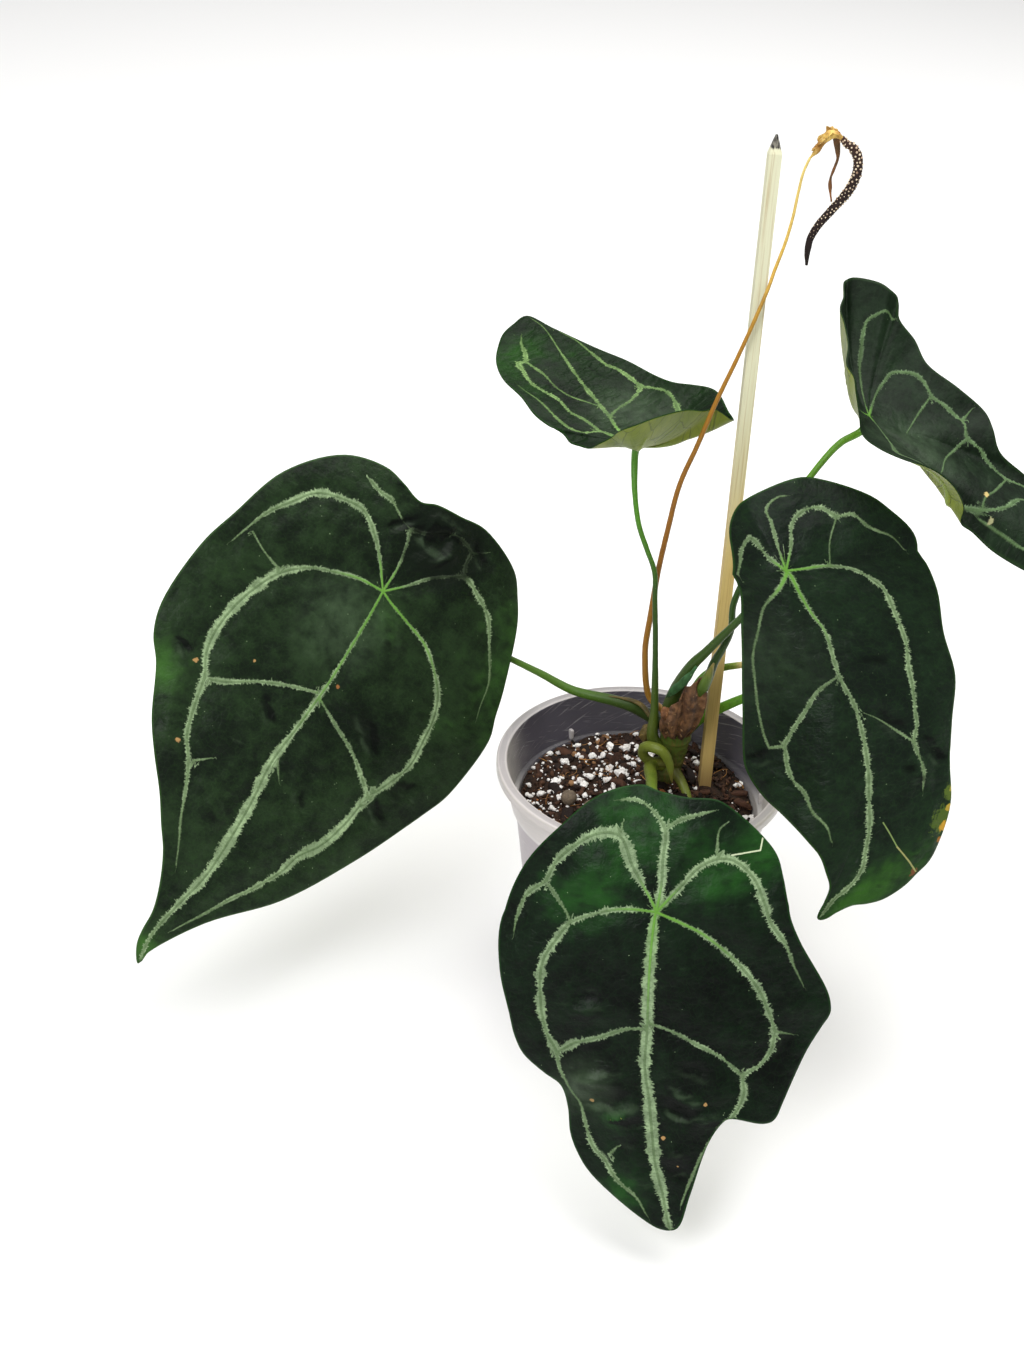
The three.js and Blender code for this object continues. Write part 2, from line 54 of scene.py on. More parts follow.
TINY = 1e-9
FAR = 1e9
TURN = 2 * math.pi
SPAN_STEPS = 12
CAP = 0.25
BALL_SCALE = 10

Point = tuple[float, float, float]
Flat = tuple[float, float]
Colour = tuple[float, float, float]
Faces = list[tuple[int, ...]]


def tint(red: int, green: int, blue: int) -> Colour:
    """A display colour as the linear values that a material takes.

    Args:
        red: Red, from 0 to 255.
        green: Green.
        blue: Blue.

    Returns:
        The linear colour.
    """
    def linear(channel: int) -> float:
        """One channel as a linear value."""
        share = channel / 255
        return share / 12.92 if share <= 0.04045 else ((share + 0.055) / 1.055) ** 2.4

    return linear(red), linear(green), linear(blue)


# Shapes

def smooth_path(points: Sequence[Sequence[float]], per_span: int, ring: bool = False) -> np.ndarray:
    """A smooth curve through points.

    Args:
        points: The points to pass through, of two or three numbers each.
        per_span: How many steps each span between two points is cut into.
        ring: Whether the curve closes on itself.

    Returns:
        The curve's points, one row each. A ring doesn't repeat its first point.
    """
    knots = np.asarray(points, float)
    count = len(knots)
    if ring:
        around = np.vstack([knots[-1:], knots, knots[:2]])
    else:
        around = np.vstack([2 * knots[0] - knots[1], knots, 2 * knots[-1] - knots[-2]])
    rows = []
    for i in range(count if ring else count - 1):
        p0, p1, p2, p3 = around[i:i + 4]
        t1 = max(np.linalg.norm(p1 - p0), TINY) ** 0.5
        t2 = t1 + max(np.linalg.norm(p2 - p1), TINY) ** 0.5
        t3 = t2 + max(np.linalg.norm(p3 - p2), TINY) ** 0.5
        t = np.linspace(t1, t2, per_span, endpoint=False)[:, None]
        a1 = (t1 - t) / t1 * p0 + t / t1 * p1
        a2 = (t2 - t) / (t2 - t1) * p1 + (t - t1) / (t2 - t1) * p2
        a3 = (t3 - t) / (t3 - t2) * p2 + (t - t2) / (t3 - t2) * p3
        b1 = (t2 - t) / t2 * a1 + t / t2 * a2
        b2 = (t3 - t) / (t3 - t1) * a2 + (t - t1) / (t3 - t1) * a3
        rows.append((t2 - t) / (t2 - t1) * b1 + (t - t1) / (t2 - t1) * b2)
    if not ring:
        rows.append(knots[-1:])
    return np.vstack(rows)


def evenly(path: np.ndarray, steps: int) -> np.ndarray:
    """A path cut into steps of equal length.

    Args:
        path: Its points, one row each.
        steps: How many steps.

    Returns:
        The points between the steps, and both ends.
    """
    lengths = np.r_[0, np.cumsum(np.linalg.norm(np.diff(path, axis=0), axis=1))]
    wanted = np.linspace(0, lengths[-1], steps + 1)
    return np.column_stack([np.interp(wanted, lengths, column) for column in path.T])


def spread(numbers: Sequence[float], shares: np.ndarray) -> np.ndarray:
    """Numbers spread evenly from 0 to 1, read at each share."""
    return np.interp(shares, np.linspace(0, 1, len(numbers)), numbers)


def unit(vectors: np.ndarray) -> np.ndarray:
    """Vectors scaled to length 1."""
    return vectors / np.maximum(np.linalg.norm(vectors, axis=-1, keepdims=True), TINY)


def ring(radius: float, height: float, sides: int) -> np.ndarray:
    """A level ring of points round the upright axis."""
    angles = np.linspace(0, TURN, sides, endpoint=False)
    return np.column_stack([radius * np.cos(angles), radius * np.sin(angles), np.full(sides, height)])


def pairs(start: int, sides: int) -> list[tuple[int, int]]:
    """The numbers of each point of a ring and of the next one, from the number of its first."""
    return [(start + j, start + (j + 1) % sides) for j in range(sides)]


def walls(rings: int, sides: int, start: int = 0, flipped: bool = False) -> Faces:
    """Faces between rings of points that follow one another.

    Args:
        rings: How many rows of faces.
        sides: Points on each ring.
        start: The number of the first ring's first point.
        flipped: Whether the faces look the other way.

    Returns:
        The faces, of four corners each.
    """
    edges = [edge for i in range(rings) for edge in pairs(start + i * sides, sides)]
    if flipped:
        return [(a, a + sides, b + sides, b) for a, b in edges]
    return [(a, b, b + sides, a + sides) for a, b in edges]


def waves(points: np.ndarray, size: float, seed: float = 0.0) -> np.ndarray:
    """Smooth noise at each point, from about -1 to 1.

    Args:
        points: Places in millimetres, of two or three numbers each.
        size: How far apart two bumps of the noise lie.
        seed: Moves the noise along, so that two surfaces differ.

    Returns:
        One number for each point.
    """
    solid = np.zeros((len(points), 3))
    solid[:, :points.shape[1]] = points / size
    solid += seed
    return np.array([noise.noise(Vector(row)) for row in solid])


def nearest(path: np.ndarray, points: np.ndarray) -> tuple[np.ndarray, np.ndarray, np.ndarray]:
    """Where flat points lie beside a flat path.

    Args:
        path: The path's corners.
        points: The points to place.

    Returns:
        Distance, distance with the side as its sign, and length run along the path.
    """
    best = np.full(len(points), FAR)
    side = np.zeros(len(points))
    run = np.zeros(len(points))
    done = 0.0
    for start, end in zip(path[:-1], path[1:]):
        step = end - start
        length = max(float(np.hypot(*step)), TINY)
        off = points - start
        share = np.clip(off @ step / length ** 2, 0, 1)
        gap = off - share[:, None] * step
        distance = np.hypot(gap[:, 0], gap[:, 1])
        closer = distance < best
        turn = np.sign(step[0] * off[:, 1] - step[1] * off[:, 0])
        best[closer] = distance[closer]
        side[closer] = (distance * np.where(turn == 0, 1, turn))[closer]
        run[closer] = done + share[closer] * length
        done += length
    return best, side, run


def lumps(points: np.ndarray, seed: float, *layers: Flat) -> np.ndarray:
    """How far out each point of an uneven ball lies.

    Args:
        points: The points of a unit ball.
        seed: Changes the unevenness.
        layers: The height and the size of each layer of lumps.

    Returns:
        One factor for each point.
    """
    return 1 + sum(height * waves(points * BALL_SCALE, size, seed) for height, size in layers)[:, None]


@dataclass
class Shell:
    """A mesh on its way to becoming a piece: points in millimetres, faces, and what varies on it."""

    points: np.ndarray
    faces: Faces
    values: dict[str, np.ndarray] = field(default_factory=dict)
    finishes: list[int] | None = None

    @staticmethod
    def joined(shells: Sequence["Shell"]) -> "Shell":
        """Several shells as one.

        Args:
            shells: The shells.

        Returns:
            One shell, with the values that all of them hold.
        """
        faces: Faces = []
        shift = 0
        for shell in shells:
            faces.extend(tuple(i + shift for i in face) for face in shell.faces)
            shift += len(shell.points)
        names = set.intersection(*(set(shell.values) for shell in shells))
        values = {n: np.concatenate([shell.values[n] for shell in shells]) for n in names}
        kinds = None
        if all(shell.finishes is not None for shell in shells):
            kinds = [kind for shell in shells for kind in shell.finishes]
        return Shell(np.vstack([shell.points for shell in shells]), faces, values, kinds)

    def piece(self, name: str, finishes: Sequence["Finish"], slot: str,
              stands_for: Sequence[str] = ()) -> bpy.types.Object:
        """Makes the shell a piece of the scene.

        Args:
            name: The piece's name.
            finishes: Its finishes. Faces pick one by number, and all take the first by default.
            slot: Not used.
            stands_for: The solids that it replaces.

        Returns:
            The new object, riding on the body.
        """
        mesh = bpy.data.meshes.new(name)
        mesh.from_pydata((self.points * MM).tolist(), [], self.faces)
        for finish in finishes:
            mesh.materials.append(finish.material())
        if self.finishes is not None:
            mesh.polygons.foreach_set("material_index", self.finishes)
        mesh.polygons.foreach_set("use_smooth", [True] * len(mesh.polygons))
        for key, numbers in self.values.items():
            kind = "FLOAT_VECTOR" if numbers.ndim == 2 else "FLOAT"
            attribute = mesh.attributes.new(key, kind, "POINT")
            target = "vector" if numbers.ndim == 2 else "value"
            attribute.data.foreach_set(target, numbers.astype(np.float32).ravel())
        mesh.validate()
        mesh.update()
        made = bpy.data.objects.new(name, mesh)
        bpy.context.scene.collection.objects.link(made)
        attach(made, BODY)
        if stands_for:
            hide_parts(*stands_for)
        LOG.info("%s: %d faces", name, len(mesh.polygons))
        return made


def tube(route: Sequence[Point], radii: Sequence[float], sides: int = 18, step: float = 1.2,
         bumps: float = 0.0, seed: float = 0.0, flatten: float = 1.0) -> Shell:
    """A round stem along a smooth route, closed at both ends.

    Args:
        route: The points that the middle of the stem passes through.
        radii: Its radii, spread evenly from its first point to its last.
        sides: Faces round the stem.
        step: Length of one ring of faces.
        bumps: Height of the unevenness of its skin.
        seed: Changes the unevenness.
        flatten: Thickness from front to back as a share of the width.

    Returns:
        The stem, with its run from 0 to 1 as the value "along".
    """
    curve = smooth_path(route, SPAN_STEPS)
    length = float(np.linalg.norm(np.diff(curve, axis=0), axis=1).sum())
    rings = max(int(length / step), 4)
    middle = evenly(curve, rings)
    ahead = unit(np.gradient(middle, axis=0))
    guide = np.array([1.0, 0.0, 0.0]) if abs(ahead[0][0]) < 0.8 else np.array([0.0, 1.0, 0.0])
    shares = np.linspace(0, 1, rings + 1)
    widths = spread(radii, shares)
    turned = ring(1.0, 0.0, sides)
    rows = []
    for centre, way, radius in zip(middle, ahead, widths):
        guide = unit(guide - way * (guide @ way))
        other = np.cross(way, guide)
        rows.append(centre + radius * (turned[:, :1] * guide + flatten * turned[:, 1:2] * other))
    points = np.vstack(rows)
    if bumps:
        out = unit(points - np.repeat(middle, sides, axis=0))
        points = points + out * (bumps * waves(points, 2.2 + 3 * bumps, seed))[:, None]
    caps = [middle[0] - CAP * widths[0] * ahead[0], middle[-1] + CAP * widths[-1] * ahead[-1]]
    last = rings * sides
    foot = last + sides
    faces = walls(rings, sides)
    faces += [(foot, b, a) for a, b in pairs(0, sides)]
    faces += [(foot + 1, a, b) for a, b in pairs(last, sides)]
    return Shell(np.vstack([points, caps]), faces, {"along": np.r_[np.repeat(shares, sides), 0, 1]})


def sheet(at: Callable[[np.ndarray, np.ndarray], np.ndarray], rows: int, columns: int,
          thickness: float) -> Shell:
    """A thin closed sheet.

    Args:
        at: Gives the points for shares down and across the sheet.
        rows: Faces down the sheet.
        columns: Faces across it.
        thickness: Its thickness.

    Returns:
        The sheet.
    """
    down, across = np.meshgrid(np.linspace(0, 1, rows + 1), np.linspace(0, 1, columns + 1), indexing="ij")
    front = at(down.ravel(), across.ravel())
    grid = front.reshape(rows + 1, columns + 1, 3)
    normal = unit(np.cross(np.gradient(grid, axis=0), np.gradient(grid, axis=1)).reshape(-1, 3))
    count = len(front)
    numbers = np.arange(count).reshape(rows + 1, columns + 1)
    faces: Faces = []
    for a in numbers[:-1, :-1].ravel().tolist():
        b = a + columns + 1
        faces.append((a, b, b + 1, a + 1))
        faces.append((a + count, a + 1 + count, b + 1 + count, b + count))
    rim = np.concatenate([numbers[0], numbers[1:, -1], numbers[-1, -2::-1], numbers[-2:0:-1, 0]]).tolist()
    faces += [(a, b, b + count, a + count) for a, b in zip(rim, rim[1:] + rim[:1])]
    return Shell(np.vstack([front, front - normal * thickness]), faces)


def ball(level: int) -> tuple[np.ndarray, Faces]:
    """A unit ball of triangles.

    Args:
        level: How often its 20 first faces are each cut into four.

    Returns:
        Its points and its faces.
    """
    golden = (1 + 5 ** 0.5) / 2
    points = [np.array(p, float) for a, b in ((1, golden), (-1, golden), (1, -golden), (-1, -golden))
              for p in ((0, a, b), (a, b, 0), (b, 0, a))]
    points = [p / np.linalg.norm(p) for p in points]
    reach = 1.06
    faces = []
    for i in range(12):
        for j in range(i + 1, 12):
            for k in range(j + 1, 12):
                trio = (points[i], points[j], points[k])
                if all(np.linalg.norm(trio[m] - trio[m - 1]) < reach for m in range(3)):
                    out = np.cross(trio[1] - trio[0], trio[2] - trio[0]) @ sum(trio)
                    faces.append((i, j, k) if out > 0 else (i, k, j))
    for _ in range(level):
        middles: dict[tuple[int, int], int] = {}
        finer = []

        def middle(a: int, b: int) -> int:
            """The number of the point halfway along an edge, which is made once."""
            key = (min(a, b), max(a, b))
            if key not in middles:
                between = points[a] + points[b]
                points.append(between / np.linalg.norm(between))
                middles[key] = len(points) - 1
            return middles[key]

        for a, b, c in faces:
            ab, bc, ca = middle(a, b), middle(b, c), middle(c, a)
            finer += [(a, ab, ca), (b, bc, ab), (c, ca, bc), (ab, bc, ca)]
        faces = finer
    return np.array(points), faces


def lathe(profile: Sequence[Flat], segments: int) -> Shell:
    """A closed turned body.

    Args:
        profile: Radius and height of its section, from the axis round to the axis again.
        segments: Faces round it.

    Returns:
        The body.
    """
    rings = [ring(radius, height, segments) for radius, height in profile if radius > TINY]
    ends = [[0, 0, profile[0][1]], [0, 0, profile[-1][1]]]
    first = len(rings) * segments
    faces = walls(len(rings) - 1, segments)
    for (a, b), (c, d) in zip(pairs(0, segments), pairs(first - segments, segments)):
        faces += [(first, b, a), (first + 1, c, d)]
    return Shell(np.vstack([*rings, ends]), faces)


# Materials

def maths(operation: str, turned: bool = False) -> Callable[..., "Wire"]:
    """Makes a method that adds one Math node.

    Args:
        operation: What the node does.
        turned: Whether the other number comes first.

    Returns:
        The method.
    """
    def method(wire: "Wire", other: "Wire | float" = 0.0) -> "Wire":
        """The node's result for this number and another."""
        numbers = (other, wire) if turned else (wire, other)
        made = wire.graph.node("ShaderNodeMath", {"operation": operation}, dict(enumerate(numbers)))
        return Wire(wire.graph, made.outputs[0])

    return method


class Wire:
    """A number that runs through a material. Arithmetic on it adds Math nodes."""

    __add__ = maths("ADD")
    __radd__ = maths("ADD", turned=True)
    __sub__ = maths("SUBTRACT")
    __rsub__ = maths("SUBTRACT", turned=True)
    __mul__ = maths("MULTIPLY")
    __rmul__ = maths("MULTIPLY", turned=True)
    __abs__ = maths("ABSOLUTE")
    wave = maths("SINE")
    most = maths("MAXIMUM")

    def __init__(self, graph: "Graph", socket: bpy.types.NodeSocket) -> None:
        """Wraps an output socket of a graph."""
        self.graph = graph
        self.socket = socket

    def rise(self, low: float, high: float) -> "Wire":
        """Turns smoothly from 0 to 1.

        Args:
            low: Where it is 0. It may be the larger of the two.
            high: Where it is 1.

        Returns:
            The share.
        """
        made = self.graph.node("ShaderNodeMapRange", {"interpolation_type": "SMOOTHSTEP"},
                               {"Value": self, "From Min": low, "From Max": high})
        return Wire(self.graph, made.outputs[0])


Link = Wire | bpy.types.NodeSocket


class Graph:
    """The nodes of one material, ending in a Principled shader."""

    def __init__(self, name: str) -> None:
        """Starts an empty material of that name."""
        self.material = bpy.data.materials.new(name)
        self.material.use_nodes = True
        self.tree = self.material.node_tree
        self.tree.nodes.clear()

    def node(self, kind: str, settings: dict[str, object] | None = None,
             inputs: dict[int | str, object] | None = None) -> bpy.types.Node:
        """Adds one node.

        Args:
            kind: The node's type.
            settings: Its settings, which are set first. "stops" gives a ramp's places and colours.
            inputs: Values or links for its sockets, by name or number.

        Returns:
            The new node.
        """
        made = self.tree.nodes.new(kind)
        for key, value in (settings or {}).items():
            if key == "stops":
                self._stops(made.color_ramp, value)
            else:
                setattr(made, key, value)
        for key, value in (inputs or {}).items():
            socket = made.inputs[key]
            if isinstance(value, Wire):
                self.tree.links.new(value.socket, socket)
            elif isinstance(value, bpy.types.NodeSocket):
                self.tree.links.new(value, socket)
            elif isinstance(value, tuple) and len(value) == 3 and socket.type == "RGBA":
                socket.default_value = (*value, 1.0)
            else:
                socket.default_value = value
        return made

    @staticmethod
    def _stops(ramp: bpy.types.ColorRamp, stops: Sequence[tuple[float, Colour]]) -> None:
        """Sets up a colour ramp.

        Args:
            ramp: The ramp.
            stops: Its places and colours.
        """
        while len(ramp.elements) < len(stops):
            ramp.elements.new(1.0)
        for element, (place, colour) in zip(ramp.elements, stops):
            element.position = place
            element.color = (*colour, 1.0)

    def number(self, name: str) -> Wire:
        """A number that varies over the mesh."""
        return Wire(self, self.node("ShaderNodeAttribute", {"attribute_name": name}).outputs["Fac"])

    def vector(self, name: str) -> bpy.types.NodeSocket:
        """A vector that varies over the mesh."""
        return self.node("ShaderNodeAttribute", {"attribute_name": name}).outputs["Vector"]

    def place(self) -> bpy.types.NodeSocket:
        """Where a point of the object lies, in millimetres."""
        spot = self.node("ShaderNodeTexCoord").outputs["Object"]
        return self.scaled(spot, (1000.0, 1000.0, 1000.0))

    def scaled(self, vector: bpy.types.NodeSocket, by: Point) -> bpy.types.NodeSocket:
        """A vector with each part multiplied."""
        return self.node("ShaderNodeVectorMath", {"operation": "MULTIPLY"}, {0: vector, 1: by}).outputs[0]

    def parts(self, vector: bpy.types.NodeSocket) -> tuple[Wire, Wire, Wire]:
        """A vector's three numbers."""
        made = self.node("ShaderNodeSeparateXYZ", None, {0: vector})
        return tuple(Wire(self, socket) for socket in made.outputs)

    def join(self, x: Wire | float, y: Wire | float, z: Wire | float) -> bpy.types.NodeSocket:
        """A vector of three numbers."""
        return self.node("ShaderNodeCombineXYZ", None, {0: x, 1: y, 2: z}).outputs[0]

    def noise(self, vector: bpy.types.NodeSocket, size: float, detail: float = 2.0,
              seed: float = 0.0) -> Wire:
        """Smooth noise from 0 to 1.

        Args:
            vector: Where it is read.
            size: How many millimetres apart its bumps lie.
            detail: How many finer layers it has.
            seed: Changes it.

        Returns:
            The noise.
        """
        made = self.node("ShaderNodeTexNoise", {"noise_dimensions": "4D"},
                         {"Vector": vector, "W": seed, "Scale": 1 / size, "Detail": detail})
        return Wire(self, made.outputs[0])

    def cells(self, vector: bpy.types.NodeSocket, size: float, feature: str) -> Wire:
        """Distance within a net of cells of that size, in cell widths."""
        made = self.node("ShaderNodeTexVoronoi", {"feature": feature},
                         {"Vector": vector, "Scale": 1 / size})
        return Wire(self, made.outputs["Distance"])

    def apart(self, vector: bpy.types.NodeSocket, spot: Point | bpy.types.NodeSocket) -> Wire:
        """Distance from a point."""
        made = self.node("ShaderNodeVectorMath", {"operation": "DISTANCE"}, {0: vector, 1: spot})
        return Wire(self, made.outputs["Value"])

    def beside(self, vector: bpy.types.NodeSocket, start: Flat, end: Flat) -> Wire:
        """Distance from a straight line.

        Args:
            vector: Where it is read.
            start: One end of the line.
            end: Its other end.

        Returns:
            The distance.
        """
        step = (end[0] - start[0], end[1] - start[1])
        square = step[0] ** 2 + step[1] ** 2
        x, y, _ = self.parts(vector)
        share = ((x - start[0]) * (step[0] / square) + (y - start[1]) * (step[1] / square))
        held = Wire(self, self.node("ShaderNodeClamp", None, {"Value": share}).outputs[0])
        return self.apart(vector, self.join(held * step[0] + start[0], held * step[1] + start[1], 0.0))

    def mix(self, share: Link, start: object, end: object) -> bpy.types.NodeSocket:
        """A colour between two colours."""
        made = self.node("ShaderNodeMix", {"data_type": "RGBA"}, {0: share, 6: start, 7: end})
        return made.outputs[2]

    def ramp(self, share: Wire, stops: Sequence[tuple[float, Colour]]) -> bpy.types.NodeSocket:
        """A colour picked from a ramp."""
        return self.node("ShaderNodeValToRGB", {"stops": stops}, {0: share}).outputs[0]

    def drifted(self, vector: bpy.types.NodeSocket, scale: float, by: float) -> bpy.types.NodeSocket:
        """A flat vector moved about by noise.

        Args:
            vector: The vector.
            scale: The noise's scale.
            by: How far it may move.

        Returns:
            The moved vector.
        """
        drift = self.node("ShaderNodeTexNoise", None, {"Vector": vector, "Scale": scale}).outputs[1]
        return self.node("ShaderNodeVectorMath", {"operation": "ADD"}, {
            0: vector, 1: self.scaled(drift, (by, by, 0.0))}).outputs[0]

    def bump(self, height: Wire) -> bpy.types.NodeSocket:
        """The normal of a relief whose height is in millimetres."""
        made = self.node("ShaderNodeBump", None, {"Strength": 1.0, "Distance": MM, "Height": height})
        return made.outputs[0]

    def finish(self, colour: object, roughness: object, normal: Link | None = None,
               **sockets: object) -> bpy.types.Material:
        """Ends the material.

        Args:
            colour: The base colour.
            roughness: The roughness.
            normal: The normal, if the surface has relief.
            sockets: Other sockets of the shader, their names written with underscores.

        Returns:
            The material.
        """
        inputs = {"Base Color": colour, "Roughness": roughness}
        inputs.update({key.replace("_", " "): value for key, value in sockets.items()})
        if normal is not None:
            inputs["Normal"] = normal
        shader = self.node("ShaderNodeBsdfPrincipled", None, inputs)
        self.node("ShaderNodeOutputMaterial", None, {"Surface": shader.outputs[0]})
        return self.material


@dataclass(frozen=True)
class Finish:
    """A finish. Its material is made once and shared by the pieces that use it."""

    name: str

    def material(self) -> bpy.types.Material:
        """The finish as a material."""
        return bpy.data.materials.get(self.name) or self.made()

    def made(self) -> bpy.types.Material:
        """Builds the material."""
        raise NotImplementedError


@dataclass(frozen=True)
class Mark:
    """A blemish on a blade: where it is, its radius and its colour."""

    at: Flat
    radius: float
    colour: Colour


@dataclass(frozen=True)
class Scar:
    """A scratch on a blade, from one point to another."""

    start: Flat
    end: Flat
    half: float
    colour: Colour


@dataclass(frozen=True)
class Crease:
    """A fold of a blade along a line. Its height may be negative, for a furrow."""

    start: Flat
    end: Flat
    half: float
    height: float


@dataclass(frozen=True)
class LeafTop(Finish):
    """The dark, satin upper face of a blade with its silvery veins."""

    deep: Colour
    mid: Colour
    fresh: Colour
    silver: Colour = tint(158, 182, 138)
    bright: Colour = tint(100, 152, 56)
    groove: Colour = tint(62, 88, 44)
    # Colour of the painted shade in the wrinkles and where the tone is low.
    dark: Colour = tint(16, 24, 16)
    seed: float = 0.0
    gloss: float = 0.1
    pucker: float = 0.5
    feather: float = 1.5
    blotch: float = 20.0
    stripes: float = 0.0
    # A glossy patch: it lowers the roughness and also gets a painted sheen in its colour.
    gloss_and_painted_sheen: Flat = (20.0, -8.0)
    gloss_and_painted_sheen_reach: float = 28.0
    # Colour of the painted highlights on wrinkles, creases and the glossy patch.
    painted_highlight: Colour = tint(84, 104, 78)
    painted_sheen_share: float = 0.45
    drift: float = 7.0
    # Colour of the painted shade on the creases' dark sides.
    painted_crease_shade: Colour = tint(5, 9, 6)
    marks: tuple[Mark, ...] = ()
    scars: tuple[Scar, ...] = ()
    creases: tuple[Crease, ...] = ()

    def slope(self, g: Graph, flat: bpy.types.NodeSocket) -> Wire | float:
        """How much each crease turns the surface to the light or away from it.

        Args:
            g: The material's graph.
            flat: The blade's own coordinates.

        Returns:
            Above 0 on a crease's bright side, below 0 on its dark side.
        """
        x, y, _ = g.parts(g.drifted(flat, 0.1, self.drift))
        total: Wire | float = 0.0
        for crease in self.creases:
            start = (crease.start[0] + self.drift / 2, crease.start[1] + self.drift / 2)
            way = (crease.end[0] - crease.start[0], crease.end[1] - crease.start[1])
            length = math.hypot(*way)
            ahead, across = x - start[0], y - start[1]
            share = ahead * (way[0] / length ** 2) + across * (way[1] / length ** 2)
            signed = across * (way[0] / length) - ahead * (way[1] / length)
            ends = share.rise(-0.1, 0.35) * share.rise(1.1, 0.65)
            near = abs(signed).rise(1.4 * crease.half, 0.0) * ends
            total = total + signed * (2.6 * crease.height / crease.half) * near
        return total

    def made(self) -> bpy.types.Material:
        """Builds the material from the blade's own coordinates and its veins, with painted shade and
        painted highlights on its wrinkles, creases and glossy patch.

        Returns:
            The material.
        """
        g = Graph(self.name)
        flat = g.vector("flat")
        run, side, away = g.parts(g.vector("vein"))
        band, half, glow, tone, edge = (g.number(n) for n in ("band", "half", "glow", "tone", "edge"))
        band = band.most(half - abs(side) - away.rise(2.0, 3.0) * 20.0)
        blotches = g.noise(flat, self.blotch, 3.0, self.seed)
        grain = g.noise(flat, 1.1, 4.0, self.seed)
        clouds = g.noise(flat, 5.0, 3.0, self.seed + 11)
        share = (blotches - 0.5) * 1.7 + (clouds - 0.5) * 1.3 + (grain - 0.5) * 0.7 + 0.42 + tone
        colour = g.mix(share.rise(0.0, 1.0), self.deep, self.mid)
        young = (tone + (blotches - 0.5) * 1.1 + (clouds - 0.5) * 0.6).rise(0.3, 1.0)
        colour = g.mix(young, colour, self.fresh)
        net = g.cells(flat, 2.6, "DISTANCE_TO_EDGE")
        colour = g.mix(net.rise(0.07, 0.0) * 0.06, colour, self.fresh)
        wrinkle = g.noise(g.scaled(flat, (1.0, 0.45, 1.0)), 3.6, 4.0, self.seed + 9)
        # Painted shade in the wrinkles, and a faint painted highlight beside them.
        colour = g.mix(wrinkle.rise(0.52, 0.72) * 0.55, colour, self.dark)
        colour = g.mix(wrinkle.rise(0.4, 0.2) * 0.14, colour, self.painted_highlight)
        specks = g.cells(flat, 3.6, "F1").rise(0.06, 0.03) * clouds.rise(0.5, 0.6)
        colour = g.mix(specks * 0.8, colour, self.silver)
        width = half.rise(0.0, 1.7)
        swell = g.noise(g.join(run, side * 0.1, self.seed), 4.5, 2.0, self.seed + 1) - 0.5
        spikes = g.noise(g.join(run * 1.2, side * 0.2, self.seed), 1.0, 3.0, self.seed)
        burrs = g.noise(g.join(run, side * 0.35, self.seed), 0.42, 2.0, self.seed + 2)
        fine = g.noise(flat, 0.55, 3.0, self.seed + 4) - 0.5
        edging = swell * 3.4 + spikes.rise(0.5, 0.9) * self.feather + burrs.rise(0.42, 0.75) * 1.1
        ragged = band - 0.1 + (edging - 0.55) * width + fine * (0.6 + width * 1.3)
        pale = ragged.rise(-0.3, 0.3)
        hatch = g.noise(g.join(run * 1.3, side * 0.8, 0.0), 0.9, 2.0, self.seed + 3)
        silver = g.mix(hatch.rise(0.4, 0.7) * 0.4, self.silver, self.groove)
        silver = g.mix((clouds + swell * 0.6).rise(0.35, 0.65) * 0.4, silver, self.mid)
        silver = g.mix(glow.rise(0.3, 1.0) * 0.5, silver, self.bright)
        colour = g.mix(pale * 0.94, colour, silver)
        line = abs(side).rise(0.62, 0.22) * away.rise(1.8, 1.2) * (band + 0.1).rise(-0.2, 0.4)
        core = g.mix(glow.rise(0.0, 0.5), self.groove, self.bright)
        colour = g.mix(line * (0.5 + glow * 0.45), colour, core)
        shade = (0.0 - tone + (clouds - 0.5) * 0.8).rise(0.3, 0.7)
        colour = g.mix(shade * 0.9, colour, self.dark)
        # Painted highlight on each crease's lit side and painted shade on its dark side.
        slope = self.slope(g, flat) * wrinkle.rise(0.25, 0.6)
        colour = g.mix(slope.rise(0.15, 2.2) * 0.34, colour, self.painted_highlight)
        colour = g.mix(slope.rise(-0.05, -1.0) * 0.85, colour, self.painted_crease_shade)
        colour = g.mix(edge.rise(0.9, 0.3) * 0.4, colour, self.fresh)
        for mark in self.marks:
            gap = g.apart(flat, (*mark.at, 0.0)) + (grain - 0.5) * 2.0 * mark.radius
            colour = g.mix(gap.rise(mark.radius, 0.6 * mark.radius), colour, mark.colour)
        for scar in self.scars:
            gap = g.beside(flat, scar.start, scar.end) + (grain - 0.5) * 0.9 * scar.half
            colour = g.mix(gap.rise(scar.half, 0.5 * scar.half), colour, scar.colour)
        pebble = g.noise(flat, 3.4, 2.0, self.seed + 7)
        relief = (pebble * 0.4 + (clouds + wrinkle) * self.pucker + grain * 0.08 + line * 0.2
                  - net.rise(0.09, 0.0) * 0.03)
        if self.stripes:
            x, y, _ = g.parts(flat)
            pleats = (x * 1.3 + y * 0.45 + clouds * 12.0).wave() * self.stripes
            relief = relief + pleats * blotches.rise(0.4, 0.6)
        # The glossy patch: lower roughness, and a painted sheen mixed into the colour.
        gloss_and_painted_sheen = g.apart(flat, (*self.gloss_and_painted_sheen, 0.0)).rise(self.gloss_and_painted_sheen_reach, 2.0) * clouds.rise(0.0, 0.9)
        colour = g.mix(gloss_and_painted_sheen * self.painted_sheen_share, colour, self.painted_highlight)
        rough = 0.4 + (pebble - 0.5) * 0.16 + pale * 0.12 - gloss_and_painted_sheen * 0.12
        return g.finish(colour, rough, g.bump(relief), Specular_IOR_Level=self.gloss)


